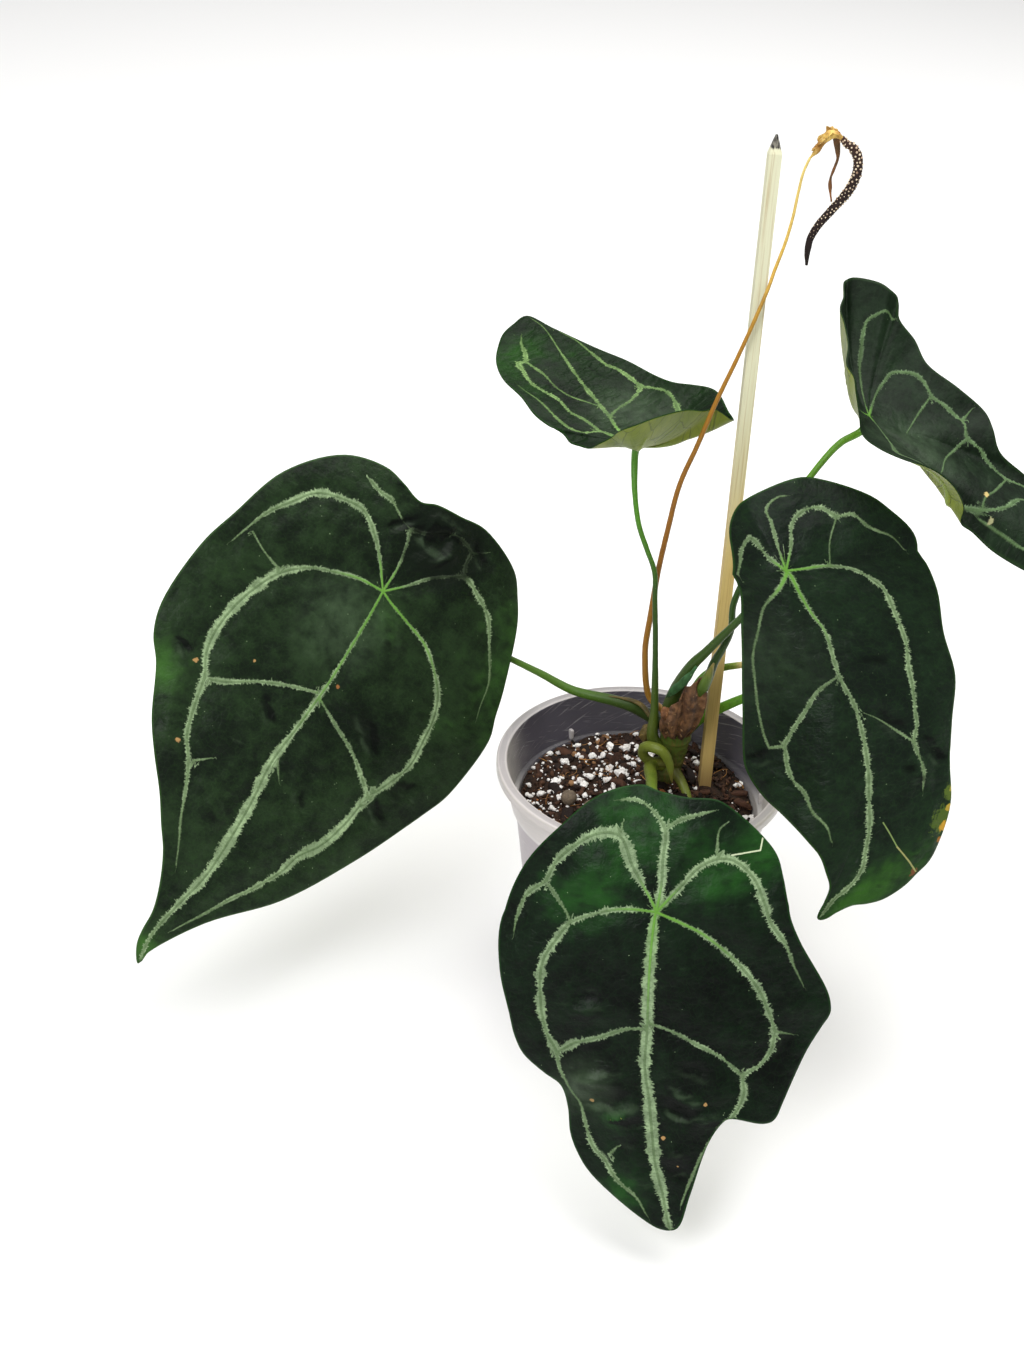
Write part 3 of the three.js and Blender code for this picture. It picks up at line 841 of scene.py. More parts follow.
@dataclass(frozen=True)
class LeafUnder(Finish):
    """The pale olive underside of a blade with its fine net of veins."""

    base: Colour = tint(130, 142, 48)
    shade: Colour = tint(100, 118, 36)
    net: Colour = tint(66, 80, 24)
    rib: Colour = tint(142, 162, 84)

    def made(self) -> bpy.types.Material:
        """Builds the material from the blade's own coordinates and its veins.

        Returns:
            The material.
        """
        g = Graph(self.name)
        flat = g.vector("flat")
        _, side, away = g.parts(g.vector("vein"))
        band = g.number("band")
        soft = g.noise(flat, 14.0, 3.0)
        wobble = g.drifted(flat, 0.25, 2.5)
        wide = g.cells(wobble, 9.0, "DISTANCE_TO_EDGE").rise(0.035, 0.0)
        fine = g.cells(wobble, 2.6, "DISTANCE_TO_EDGE").rise(0.06, 0.0)
        colour = g.mix(soft.rise(0.3, 0.7), self.base, self.shade)
        colour = g.mix(fine * 0.25, colour, self.net)
        colour = g.mix(wide * 0.6, colour, self.net)
        rib = abs(side).rise(1.3, 0.6) * away.rise(2.4, 1.5) * band.rise(-0.4, 0.4)
        colour = g.mix(rib * 0.7, colour, self.rib)
        relief = wide * 0.16 + fine * 0.05 + rib * 0.3 + soft * 0.3
        return g.finish(colour, 0.5, g.bump(relief), Specular_IOR_Level=0.35)


@dataclass(frozen=True)
class StemSkin(Finish):
    """The satin skin of a petiole, stem or root, with colours from its foot to its tip."""

    colours: tuple[tuple[float, Colour], ...]
    streak: Colour = tint(50, 76, 24)
    dot: Colour = tint(170, 180, 100)
    roughness: float = 0.4
    seed: float = 0.0
    strength: float = 0.35

    def made(self) -> bpy.types.Material:
        """Builds the material: colours along the stem, streaks, and fine pale dots.

        Returns:
            The material.
        """
        g = Graph(self.name)
        place = g.place()
        along = g.number("along")
        patches = g.noise(place, 7.0, 3.0, self.seed)
        fibres = g.noise(g.scaled(place, (1.6, 1.6, 0.22)), 1.0, 3.0, self.seed)
        colour = g.ramp(along + (patches - 0.5) * 0.06, self.colours)
        colour = g.mix(fibres.rise(0.45, 0.7) * self.strength, colour, self.streak)
        colour = g.mix(patches.rise(0.58, 0.75) * self.strength, colour, self.streak)
        dots = g.cells(place, 1.5, "F1").rise(0.16, 0.08)
        colour = g.mix(dots * 0.2, colour, self.dot)
        relief = fibres * 0.12 + patches * 0.2
        return g.finish(colour, self.roughness + (fibres - 0.5) * 0.12, g.bump(relief),
                        Specular_IOR_Level=0.3)


@dataclass(frozen=True)
class DryPaper(Finish):
    """Dry, fibrous plant tissue: withered sheaths and the dead spathe."""

    light: Colour
    dark: Colour
    fleck_and_highlight: Colour
    seed: float = 0.0

    def made(self) -> bpy.types.Material:
        """Builds the material with long fibres, flecks and crinkles; the pale flecks on the crinkles are
        partly painted highlight.

        Returns:
            The material.
        """
        g = Graph(self.name)
        place = g.place()
        fibres = g.noise(g.scaled(place, (1.0, 1.0, 0.16)), 0.8, 4.0, self.seed)
        patches = g.noise(place, 4.5, 3.0, self.seed)
        crinkle = g.noise(place, 1.5, 4.0, self.seed + 2)
        colour = g.mix(patches.rise(0.3, 0.7), self.light, self.dark)
        colour = g.mix(fibres.rise(0.5, 0.7) * 0.6, colour, self.dark)
        # Pale flecks on the crinkles: partly the tissue's own flecks, partly painted highlight.
        colour = g.mix(crinkle.rise(0.6, 0.72) * 0.8, colour, self.fleck_and_highlight)
        relief = fibres * 0.25 + crinkle * 0.5
        return g.finish(colour, 0.62 + (crinkle - 0.5) * 0.2, g.bump(relief), Specular_IOR_Level=0.4)


@dataclass(frozen=True)
class SawnWood(Finish):
    """A sawn, unfinished stick with long grain and a weathered grey tip."""

    pale: Colour = tint(222, 221, 190)
    tan: Colour = tint(208, 182, 116)
    vein: Colour = tint(166, 130, 72)
    weathered: Colour = tint(132, 128, 116)
    tip: float = 348.0
    darkens_below: float = 100.0

    def made(self) -> bpy.types.Material:
        """Builds the material: pale above, tan below, grey at the tip.

        Returns:
            The material.
        """
        g = Graph(self.name)
        place = g.place()
        x, y, height = g.parts(place)
        lean = g.join(x * 1.0 - height * 0.013, y * 1.0 - height * 0.179, height * 0.02)
        grain = g.noise(lean, 0.7, 4.0)
        broad = g.noise(g.scaled(lean, (0.5, 0.5, 1.0)), 1.0, 2.0, 4.0)
        colour = g.mix((height + broad * 60.0).rise(205.0, 295.0), self.tan, self.pale)
        colour = g.mix(height.rise(190.0, 110.0) * 0.35, colour, self.vein)
        colour = g.mix(grain.rise(0.5, 0.72) * 0.5, colour, self.vein)
        colour = g.mix(broad.rise(0.55, 0.8) * 0.3, colour, self.vein)
        # Darker from just under the pot's rim down to the mix.
        colour = g.mix(height.rise(self.darkens_below + 4, self.darkens_below - 12) * 0.6, colour, tint(96, 66, 40))
        grey = g.mix(grain.rise(0.42, 0.58), self.weathered, tint(34, 32, 32))
        grey = g.mix(height.rise(self.tip + 3.0, self.tip + 5.0), grey, tint(30, 28, 28))
        colour = g.mix((height + grain * 1.5).rise(self.tip - 0.4, self.tip + 0.6), colour, grey)
        return g.finish(colour, 0.68 + (grain - 0.5) * 0.2, g.bump(grain * 0.14), Specular_IOR_Level=0.3)


@dataclass(frozen=True)
class FrostedPlastic(Finish):
    """Scuffed translucent plastic. Its tone runs from one side of the pot to the other, as painted shade
    that darkens the far side.
    """

    # The far colour is painted shade on the back of the pot; the near colour is the lit front.
    far: Colour
    near: Colour
    low: Colour
    solid: float = 0.9
    sunk: float = 0.0
    scuffed: float = 0.3
    ringed: float = 0.25
    ledge: float = 86.0
    lip: float = 105.0
    scuff_and_highlight: Colour = tint(226, 223, 222)
    groove: Colour = tint(66, 62, 68)
    dull: Colour = tint(140, 136, 140)

    def made(self) -> bpy.types.Material:
        """Builds the material with haze, fine rings, crossing scratches, and painted shade and highlight.

        Returns:
            The material.
        """
        g = Graph(self.name)
        place = g.place()
        x, y, height = g.parts(place)
        haze = g.noise(place, 16.0, 4.0)
        rings = g.noise(g.scaled(place, (0.05, 0.05, 1.0)), 0.9, 3.0)
        slant = g.join(x + height * 0.8, y - height * 0.5, height * 0.5 - x * 0.25)
        scratch = g.noise(g.scaled(slant, (0.06, 0.06, 2.0)), 0.9, 3.0, 5.0)
        counter = g.noise(g.scaled(g.join(x - height * 0.7, y + height * 0.6, height * 0.6 + y * 0.25),
                                   (0.06, 0.06, 2.0)), 0.9, 3.0, 9.0)
        # Painted shade: darker towards the back of the pot.
        turn = (y + (haze - 0.5) * 22.0).rise(-16.0, 30.0)
        colour = g.mix(turn, self.near, self.far)
        below = height.rise(self.ledge + 1, self.ledge - 3) * (1.0 - turn * self.sunk)
        colour = g.mix(below, colour, self.low)
        scuffs = scratch.rise(0.58, 0.7).most(counter.rise(0.6, 0.72))
        colour = g.mix(scuffs * self.scuffed, colour, self.scuff_and_highlight)
        colour = g.mix(rings.rise(0.45, 0.75) * self.ringed, colour, self.groove)
        # The ledge gets a painted highlight at the front in the scuff colour and painted shade at the back
        # in the groove colour.
        shelf = height.rise(self.ledge - 0.7, self.ledge - 0.1)
        shelf = shelf * height.rise(self.ledge + 1.3, self.ledge + 0.7)
        colour = g.mix(shelf * (0.6 - turn * 0.6), colour, self.scuff_and_highlight)
        colour = g.mix(shelf * turn * 0.6, colour, self.groove)
        radius = g.apart(g.join(x, y, 0.0), (0.0, 0.0, 0.0))
        lip = height.rise(self.lip - 0.6, self.lip - 0.2)
        lip = lip * radius.rise(56.2, 57.0) * radius.rise(59.4, 58.6)
        colour = g.mix(lip * 0.5, colour, self.dull)
        relief = rings * 0.05 + scuffs * 0.06 + haze * 0.3
        clear = self.solid + scuffs * 0.06 + (haze - 0.5) * 0.1
        return g.finish(colour, 0.34 + (haze - 0.5) * 0.2, g.bump(relief), Alpha=clear,
                        Specular_IOR_Level=0.5)


@dataclass(frozen=True)
class Grit(Finish):
    """Loose matter: bark, crumbs, clay, perlite or fibre, with its own blotches and pits."""

    light: Colour
    dark: Colour
    size: float = 2.0
    stretch: Point = (1.0, 1.0, 1.0)
    relief: float = 0.4
    roughness: float = 0.85
    rare: Colour | None = None

    def made(self) -> bpy.types.Material:
        """Builds the material from three sizes of noise and each grain's own tone.

        Returns:
            The material.
        """
        g = Graph(self.name)
        place = g.scaled(g.place(), self.stretch)
        tone = g.number("tone")
        coarse = g.noise(place, self.size, 3.0)
        fine = g.noise(place, self.size / 5, 4.0, 2.0)
        share = (coarse - 0.5) * 1.1 + (fine - 0.5) * 0.9 + tone
        colour = g.mix(share.rise(0.0, 1.0), self.dark, self.light)
        if self.rare:
            colour = g.mix((tone + (coarse - 0.5) * 0.4).rise(0.85, 0.95), colour, self.rare)
        return g.finish(colour, self.roughness + (fine - 0.5) * 0.15,
                        g.bump(coarse * self.relief + fine * (self.relief / 3)), Specular_IOR_Level=0.25)


@dataclass(frozen=True)
class Floor(Finish):
    """The plain pale floor."""

    colour: Colour = (0.9, 0.9, 0.9)
    shade: Colour = (0.86, 0.86, 0.86)

    def made(self) -> bpy.types.Material:
        """Builds a matt pale material.

        Returns:
            The material.
        """
        g = Graph(self.name)
        soft = g.noise(g.place(), 400.0, 1.0)
        return g.finish(g.mix(soft * 0.1, self.colour, self.shade), 0.9, Specular_IOR_Level=0.1)


# The plant

@dataclass(frozen=True)
class Vein:
    """A vein of a blade.

    Attributes:
        path: Its points on the blade, along the midrib and across it, from the joint outwards.
        halves: Half the width of its silver band, spread evenly along it.
        glow: How far from its start its middle stays bright green.
    """

    path: tuple[Flat, ...]
    halves: tuple[float, ...]
    glow: float = 0.0


@dataclass(frozen=True)
class Tone:
    """A lighter or darker area of a blade: its centre, its reach, and how much it adds."""

    at: Flat
    reach: float
    amount: float


@dataclass(frozen=True)
class Leaf:
    """A peltate leaf blade, lofted from its margin to the point where its petiole joins."""

    name: str
    navel: Point
    tipward: Point
    facing: Point
    length: float
    bow: float
    margin: tuple[Point, ...]
    veins: tuple[Vein, ...]
    top: LeafTop
    under: LeafUnder
    tones: tuple[Tone, ...] = ()
    quilt: float = 1.1
    ripple: float = 0.7
    rings: int = 76
    per_span: int = 7
    thickness: float = 0.55
    rib: float = 0.9
    # Strength of the painted shade in the creases' furrows and the painted light on their crests.
    furrow: float = 0.5
    ripple_size: float = 17.0
    pucker_size: float = 6.5
    held_within: float = 9.0
    quilt_reach: float = 6.0
    rib_reach: float = 1.3
    vein_shift: float = 37.0

    def axes(self) -> tuple[np.ndarray, np.ndarray, np.ndarray]:
        """The blade's own directions.

        Returns:
            The directions along the midrib, across it, and out of the upper face.
        """
        normal = unit(np.array(self.facing, float))
        along = np.array(self.tipward, float)
        along = unit(along - (along @ normal) * normal)
        return along, np.cross(normal, along), normal

    def place(self, spots: np.ndarray, lift: np.ndarray) -> np.ndarray:
        """Where flat spots of the blade lie in space.

        Args:
            spots: Places along the midrib and across it.
            lift: Height off the blade's plane at each.

        Returns:
            Points in millimetres.
        """
        along, across, normal = self.axes()
        share = np.clip(spots[:, 0] / self.length, 0, 1)
        side = spots[:, 1] + self.bow * np.sin(math.pi * share) ** 0.75
        return (np.array(self.navel, float) + spots[:, :1] * along + side[:, None] * across
                + lift[:, None] * normal)

    def veined(self, spots: np.ndarray) -> dict[str, np.ndarray]:
        """How each spot of the blade lies to its nearest vein.

        Args:
            spots: Places along the midrib and across it.

        Returns:
            What the finishes read at each spot, by name.
        """
        away = np.full(len(spots), FAR)
        band = np.full(len(spots), -8.0)
        side, run, glow, wide = (np.zeros(len(spots)) for _ in range(4))
        for number, vein in enumerate(self.veins):
            path = smooth_path(vein.path, 5)
            total = float(np.linalg.norm(np.diff(path, axis=0), axis=1).sum())
            distance, signed, gone = nearest(path, spots)
            half = spread(vein.halves, gone / total)
            band = np.maximum(band, half - distance)
            closer = distance < away
            here = gone + self.vein_shift * number
            for kept, new in ((away, distance), (side, signed), (wide, half), (run, here)):
                kept[closer] = new[closer]
            if vein.glow:
                shine = np.clip(1 - gone / vein.glow, 0, 1) * np.exp(-(distance / 3) ** 2)
                glow = np.maximum(glow, shine)
        return {"vein": np.column_stack([run, side, away]), "band": band, "glow": glow, "half": wide}

    def relief(self, spots: np.ndarray, away: np.ndarray,
               held: np.ndarray) -> tuple[np.ndarray, np.ndarray]:
        """The puckers, furrows and tones of the blade, with painted shade in its furrows and painted light
        on its folds.

        Args:
            spots: Places along the midrib and across it.
            away: Each one's distance from its nearest vein.
            held: How free it is of the margin, from 0 to 1.

        Returns:
            How far the upper face stands out at each spot, and how much lighter it is there, painted fold
            shade and highlight included.
        """
        puff = self.quilt * (1 - np.exp(-(away / self.quilt_reach) ** 2)) * held
        puff += self.ripple * waves(spots, self.ripple_size, self.top.seed) * (0.35 + 0.65 * held)
        puff += 0.35 * self.ripple * waves(spots, self.pucker_size, self.top.seed + 5) * held
        tone = np.zeros(len(spots))
        for area in self.tones:
            gap = np.hypot(spots[:, 0] - area.at[0], spots[:, 1] - area.at[1])
            tone += area.amount * np.exp(-(gap / area.reach) ** 2)
        bent = spots + 2.4 * np.column_stack([waves(spots, 8.0, seed) for seed in (3.0, 7.0)])
        for crease in self.top.creases:
            gap, _, gone = nearest(np.array([crease.start, crease.end], float), bent)
            ends = np.sin(math.pi * np.clip(gone / math.dist(crease.start, crease.end), 0, 1))
            fold = np.exp(-(gap / crease.half) ** 2) * ends
            puff += crease.height * fold
            # Painted shade in the furrows and painted light on the crests, added to the tone.
            tone += (min(crease.height, 0) + 0.3 * max(crease.height, 0)) * self.furrow * fold ** 2
        return puff, tone

    def shell(self) -> Shell:
        """The blade as a thin closed shell.

        Returns:
            The blade, with the values that its finishes read.
        """
        margin = smooth_path(self.margin, self.per_span, ring=True)
        following = np.roll(margin, -1, axis=0)
        if (margin[:, 0] * following[:, 1] - margin[:, 1] * following[:, 0]).sum() < 0:
            margin = margin[::-1]
        spokes = len(margin)
        shares = (np.arange(self.rings + 1) / self.rings)[1:]
        spots = np.vstack([[[0.0, 0.0]]] + [margin[:, :2] * f for f in shares])
        lift = np.concatenate([[0.0]] + [margin[:, 2] * f * f for f in shares])
        values = self.veined(spots)
        away = values["vein"][:, 2]
        edge = nearest(np.vstack([margin[:, :2], margin[:1, :2]]), spots)[0]
        held = np.clip(edge / self.held_within, 0, 1)
        puff, tone = self.relief(spots, away, held)
        points = self.place(spots, lift)
        grid = points[1:].reshape(self.rings, spokes, 3)
        around = np.roll(grid, -1, axis=1) - np.roll(grid, 1, axis=1)
        out = np.cross(np.gradient(grid, axis=0), around).reshape(-1, 3)
        normal = unit(np.vstack([self.axes()[2][None], out]))
        upper = points + normal * puff[:, None]
        ridge = self.rib * np.exp(-(away / self.rib_reach) ** 2) * held
        ridge *= np.clip(values["band"] / 2 + 0.6, 0, 1)
        lower = upper - normal * (self.thickness + ridge)[:, None]
        faces = [(0, a, b) for a, b in pairs(1, spokes)] + walls(self.rings - 1, spokes, 1, flipped=True)
        count = len(spots)
        below = [tuple(i + count for i in reversed(face)) for face in faces]
        rim = [(a, a + count, b + count, b) for a, b in pairs(count - spokes, spokes)]
        kinds = [0] * len(faces) + [1] * len(below) + [0] * len(rim)
        values.update({"flat": np.column_stack([spots, np.zeros(count)]), "tone": tone, "edge": edge})
        both = {key: np.concatenate([value, value]) for key, value in values.items()}
        return Shell(np.vstack([upper, lower]), faces + below + rim, both, kinds)

    def build(self) -> None:
        """Makes the blade's piece."""
        node = f"blade_{self.name}"
        self.shell().piece(f"leaf_{self.name}", (self.top, self.under), "leaf_blade", (node,))


@dataclass(frozen=True)
class Stalk:
    """A petiole, stub, root or flower stalk: a route with radii, and its skin."""

    node: str
    route: tuple[Point, ...]
    radii: tuple[float, ...]
    skin: StemSkin
    slot: str = "petiole_skin"
    bumps: float = 0.06
    sides: int = 20
    step: float = 1.0

    def build(self) -> None:
        """Makes the stalk's piece."""
        shell = tube(self.route, self.radii, self.sides, self.step, self.bumps)
        shell.piece(f"{self.node}_skin", (self.skin,), self.slot, (self.node,))


LED_IN = (-6.0, -1.0)


def petiole(leaf: Leaf, route: tuple[Point, ...], radii: tuple[float, ...], skin: StemSkin) -> Stalk:
    """A leaf's petiole, led square into the back of its blade over its last millimetres.

    Args:
        leaf: The leaf that it carries.
        route: Its points from the stem up to near the blade.
        radii: Its radii from the stem to the blade.
        skin: Its finish.

    Returns:
        The petiole.
    """
    ends = leaf.place(np.zeros((2, 2)), np.array(LED_IN))
    led = route + tuple(tuple(float(v) for v in end) for end in ends)
    return Stalk(f"petiole_{leaf.name}", led, radii, skin)


class GrainKind(Enum):
    """The kinds of loose grain in the potting mix."""

    PERLITE = "perlite"
    BARK = "bark"
    CRUMB = "crumb"
    CLAY = "clay"


@dataclass(frozen=True)
class PottingMix:
    """Dark bark and coir with white perlite and a few clay balls."""

    top: float = 85.0
    shoulder: float = 5.0
    heap: float = 5.0
    heap_at: Flat = (6.0, 10.0)
    heap_spread: float = 30.0
    sink: float = 4.5
    bank: float = 1.4
    lumps: float = 0.8
    edge: float = 48.96
    foot: float = 37.4
    under: float = 1.6
    reach: float = 48.3
    seed: int = 11
    clear: tuple[tuple[Flat, float], ...] = (((9.5, 13), 7.0), ((28.5, 12), 4.5))
    bed_rings: int = 62
    bed_spokes: int = 220
    balls: tuple[tuple[Flat, float], ...] = (((-20, -11), 3.1), ((-29, -5), 3.3), ((14.0, -14.0), 2.6))
    bed: Grit = Grit("mix_bed_crumb", tint(70, 48, 34), tint(24, 16, 12), 1.3, relief=0.9)
    bark: Grit = Grit("mix_bark_chip", tint(80, 52, 38), tint(28, 18, 14), 2.0, (1.0, 1.0, 0.5), 0.7, 0.8,
        tint(150, 96, 56))
    crumb: Grit = Grit("mix_dark_crumb", tint(86, 58, 42), tint(26, 18, 14), 1.2, relief=0.5,
        rare=tint(150, 112, 78))
    perlite: Grit = Grit("mix_perlite_grain", tint(246, 243, 240), tint(196, 188, 184), 1.3, relief=0.5)
    clay: Grit = Grit("mix_clay_ball", tint(128, 112, 94), tint(72, 64, 56), 1.2, relief=0.25)
    fibre: Grit = Grit("mix_coir_fibre", tint(178, 128, 74), tint(92, 58, 34), 1.2, relief=0.1)

    def height(self, x: np.ndarray, y: np.ndarray) -> np.ndarray:
        """Height of the mix, heaped round the stem and sunk to the right.

        Args:
            x: Places to the right.
            y: Places to the back.

        Returns:
            The height at each.
        """
        away = np.hypot(x - self.heap_at[0], y - self.heap_at[1]) / self.heap_spread
        share = np.clip((x - 0.4 * y - 22) / 30, 0, 1)
        sunk = self.sink * share * share * (3 - 2 * share)
        bank = self.bank * np.clip((np.hypot(x, y) - 38) / 10, 0, 1) ** 2 * (1 - share)
        return self.top + self.heap * np.exp(-away * away) - sunk + bank \
            + self.lumps * np.sin(x * 0.34 + 1) * np.cos(y * 0.29)

    def ground(self, at: Flat) -> float:
        """Height of the mix at one place."""
        return float(self.height(np.array([at[0]]), np.array([at[1]]))[0])

    def bed_shell(self) -> Shell:
        """The body of the mix, rough on top, down to the pot's base.

        Returns:
            The body's shell.
        """
        spokes = self.bed_spokes
        radii = self.edge * np.arange(1, self.bed_rings + 1) / self.bed_rings
        top = np.vstack([ring(radius, 0.0, spokes) for radius in radii])
        top[:, 2] = self.height(top[:, 0], top[:, 1]) - 0.5
        top[:, 2] += waves(top, 4.2) + 0.7 * waves(top, 1.9, 3.0) + 0.4 * waves(top, 1.0, 6.0)
        points = np.vstack([[[0.0, 0.0, self.ground((0.0, 0.0))]], top,
                            ring(self.edge, self.top - self.shoulder, spokes),
                            ring(self.foot, self.under, spokes), [[0.0, 0.0, self.under]]])
        low = 1 + (self.bed_rings + 1) * spokes
        faces = [(0, a, b) for a, b in pairs(1, spokes)]
        faces += walls(self.bed_rings + 1, spokes, 1, flipped=True)
        faces += [(len(points) - 1, b, a) for a, b in pairs(low, spokes)]
        return Shell(points, faces, {"tone": 0.4 + 0.3 * waves(points, 5.0, 8.0)})

    def grain(self, kind: GrainKind, at: Flat, size: float, random: np.random.Generator) -> Shell:
        """One grain, resting in the surface.

        Args:
            kind: What it is.
            at: Where it lies, seen from above.
            size: Its mean radius.
            random: The generator that its shape comes from.

        Returns:
            The grain's shell.
        """
        level = 3 if kind is GrainKind.CLAY or (kind is GrainKind.PERLITE and size > 1.5) else 2
        if kind is GrainKind.CRUMB or size < 0.5:
            level = 1
        points, faces = ball(level)
        seed = random.uniform(0, 100)
        if kind is GrainKind.BARK:
            points = np.sign(points) * np.abs(points) ** 0.55
            points *= np.array([1.5, random.uniform(0.55, 0.9), random.uniform(0.3, 0.5)])
            points *= lumps(points, seed, (0.25, 7.0))
        elif kind is GrainKind.PERLITE:
            points *= lumps(points, seed, (0.4, 8.0), (0.24, 3.5)) * np.array([1.15, 0.95, 0.85])
        elif kind is GrainKind.CRUMB:
            points *= random.uniform(0.5, 1.4, 3)
            points *= lumps(points, seed, (0.4, 8.0))
        else:
            points *= lumps(points, seed, (0.05, 5.0))
        spin = Matrix.Rotation(random.uniform(0, 6.3), 3, "Z")
        for axis in "XY":
            spin = spin @ Matrix.Rotation(random.normal(0, 0.35), 3, axis)
        points = points @ np.array(spin).T * size
        proud = {GrainKind.CRUMB: 0.1, GrainKind.PERLITE: 0.5, GrainKind.CLAY: 0.95}.get(kind, 0.0)
        points += np.array([at[0], at[1], self.ground(at) + proud * size])
        far = np.hypot(points[:, 0], points[:, 1])
        points[:, :2] *= np.minimum(1.0, self.edge / np.maximum(far, TINY))[:, None]
        tones = {GrainKind.PERLITE: (0.75, 0.15), GrainKind.CLAY: (0.6, 0.15)}.get(kind, (0.45, 0.28))
        return Shell(points, faces, {"tone": np.full(len(points), random.normal(*tones))})

    def spots(self, count: int, random: np.random.Generator, lean: float) -> list[Flat]:
        """Random spots on the surface, clear of the stem and the stake.

        Args:
            count: How many spots.
            random: The generator that they come from.
            lean: How much thicker they lie towards the left, from 0 to 1.

        Returns:
            The spots.
        """
        found: list[Flat] = []
        while len(found) < count:
            angle = random.uniform(0, TURN)
            radius = self.reach * math.sqrt(random.uniform(0, 1))
            x, y = radius * math.cos(angle), radius * math.sin(angle)
            left = min(max((26 - x) / 44, 0), 1)
            taken = any(math.dist((x, y), at) < radius for at, radius in self.clear)
            if not taken and random.uniform(0, 1) < 1 - lean + lean * left:
                found.append((x, y))
        return found

    def build(self) -> None:
        """Makes the mix: its body, chips, crumbs, perlite, clay balls and fibres."""
        self.bed_shell().piece("mix_bed", (self.bed,), "potting_mix", ("potting_mix",))
        random = np.random.default_rng(self.seed)

        def scatter(kind: GrainKind, count: int, lean: float, size: Callable[[], float]) -> list[Shell]:
            """Grains of one kind on random spots, each of a size of its own."""
            return [self.grain(kind, at, size(), random) for at in self.spots(count, random, lean)]

        def strewn(name: str, grains: Sequence[Shell], finish: Grit) -> None:
            """Makes grains one piece."""
            Shell.joined(grains).piece(name, (finish,), "potting_mix")

        chips = scatter(GrainKind.BARK, 190, 0.0, lambda: 1.1 + 2.6 * random.uniform(0, 1) ** 2.5)
        strewn("mix_bark", chips, self.bark)
        crumbs = scatter(GrainKind.CRUMB, 1700, 0.0, lambda: 0.35 + 1.1 * random.uniform(0, 1) ** 2)
        strewn("mix_crumbs", crumbs, self.crumb)
        grains = scatter(GrainKind.PERLITE, 100, 0.75, lambda: 0.95 + 1.0 * random.uniform(0, 1) ** 1.8)
        grains += scatter(GrainKind.PERLITE, 240, 0.78, lambda: random.uniform(0.45, 0.9))
        grains += scatter(GrainKind.PERLITE, 420, 0.75, lambda: random.uniform(0.18, 0.4))
        strewn("mix_perlite", grains, self.perlite)
        balls = [self.grain(GrainKind.CLAY, at, size, random) for at, size in self.balls]
        strewn("mix_clay_balls", balls, self.clay)
        self.fibres(random)

    def fibres(self, random: np.random.Generator) -> None:
        """Makes coir fibres that lie on the mix and stick out of it.

        Args:
            random: The generator that they come from.
        """
        made = []
        for at in self.spots(85, random, 0.0):
            length = random.uniform(2.5, 8)
            heading = random.uniform(0, 6.3)
            rise = random.uniform(0.2, 2.2)
            bend = random.normal(0, 1.2)
            way = np.array([math.cos(heading), math.sin(heading)])
            across = np.array([-way[1], way[0]])
            route = []
            for share in (0.0, 0.35, 0.7, 1.0):
                flat = np.array(at) + way * length * (share - 0.5) + across * bend * math.sin(3 * share)
                flat *= min(1.0, self.reach / max(float(np.hypot(*flat)), TINY))
                route.append((float(flat[0]), float(flat[1]), self.ground(at) + 0.3 + rise * share))
            shell = tube(route, (random.uniform(0.12, 0.32), 0.08), 5, 1.2)
            shell.values = {"tone": np.full(len(shell.points), random.normal(0.5, 0.25))}
            made.append(shell)
        Shell.joined(made).piece("mix_fibres", (self.fibre,), "potting_mix")


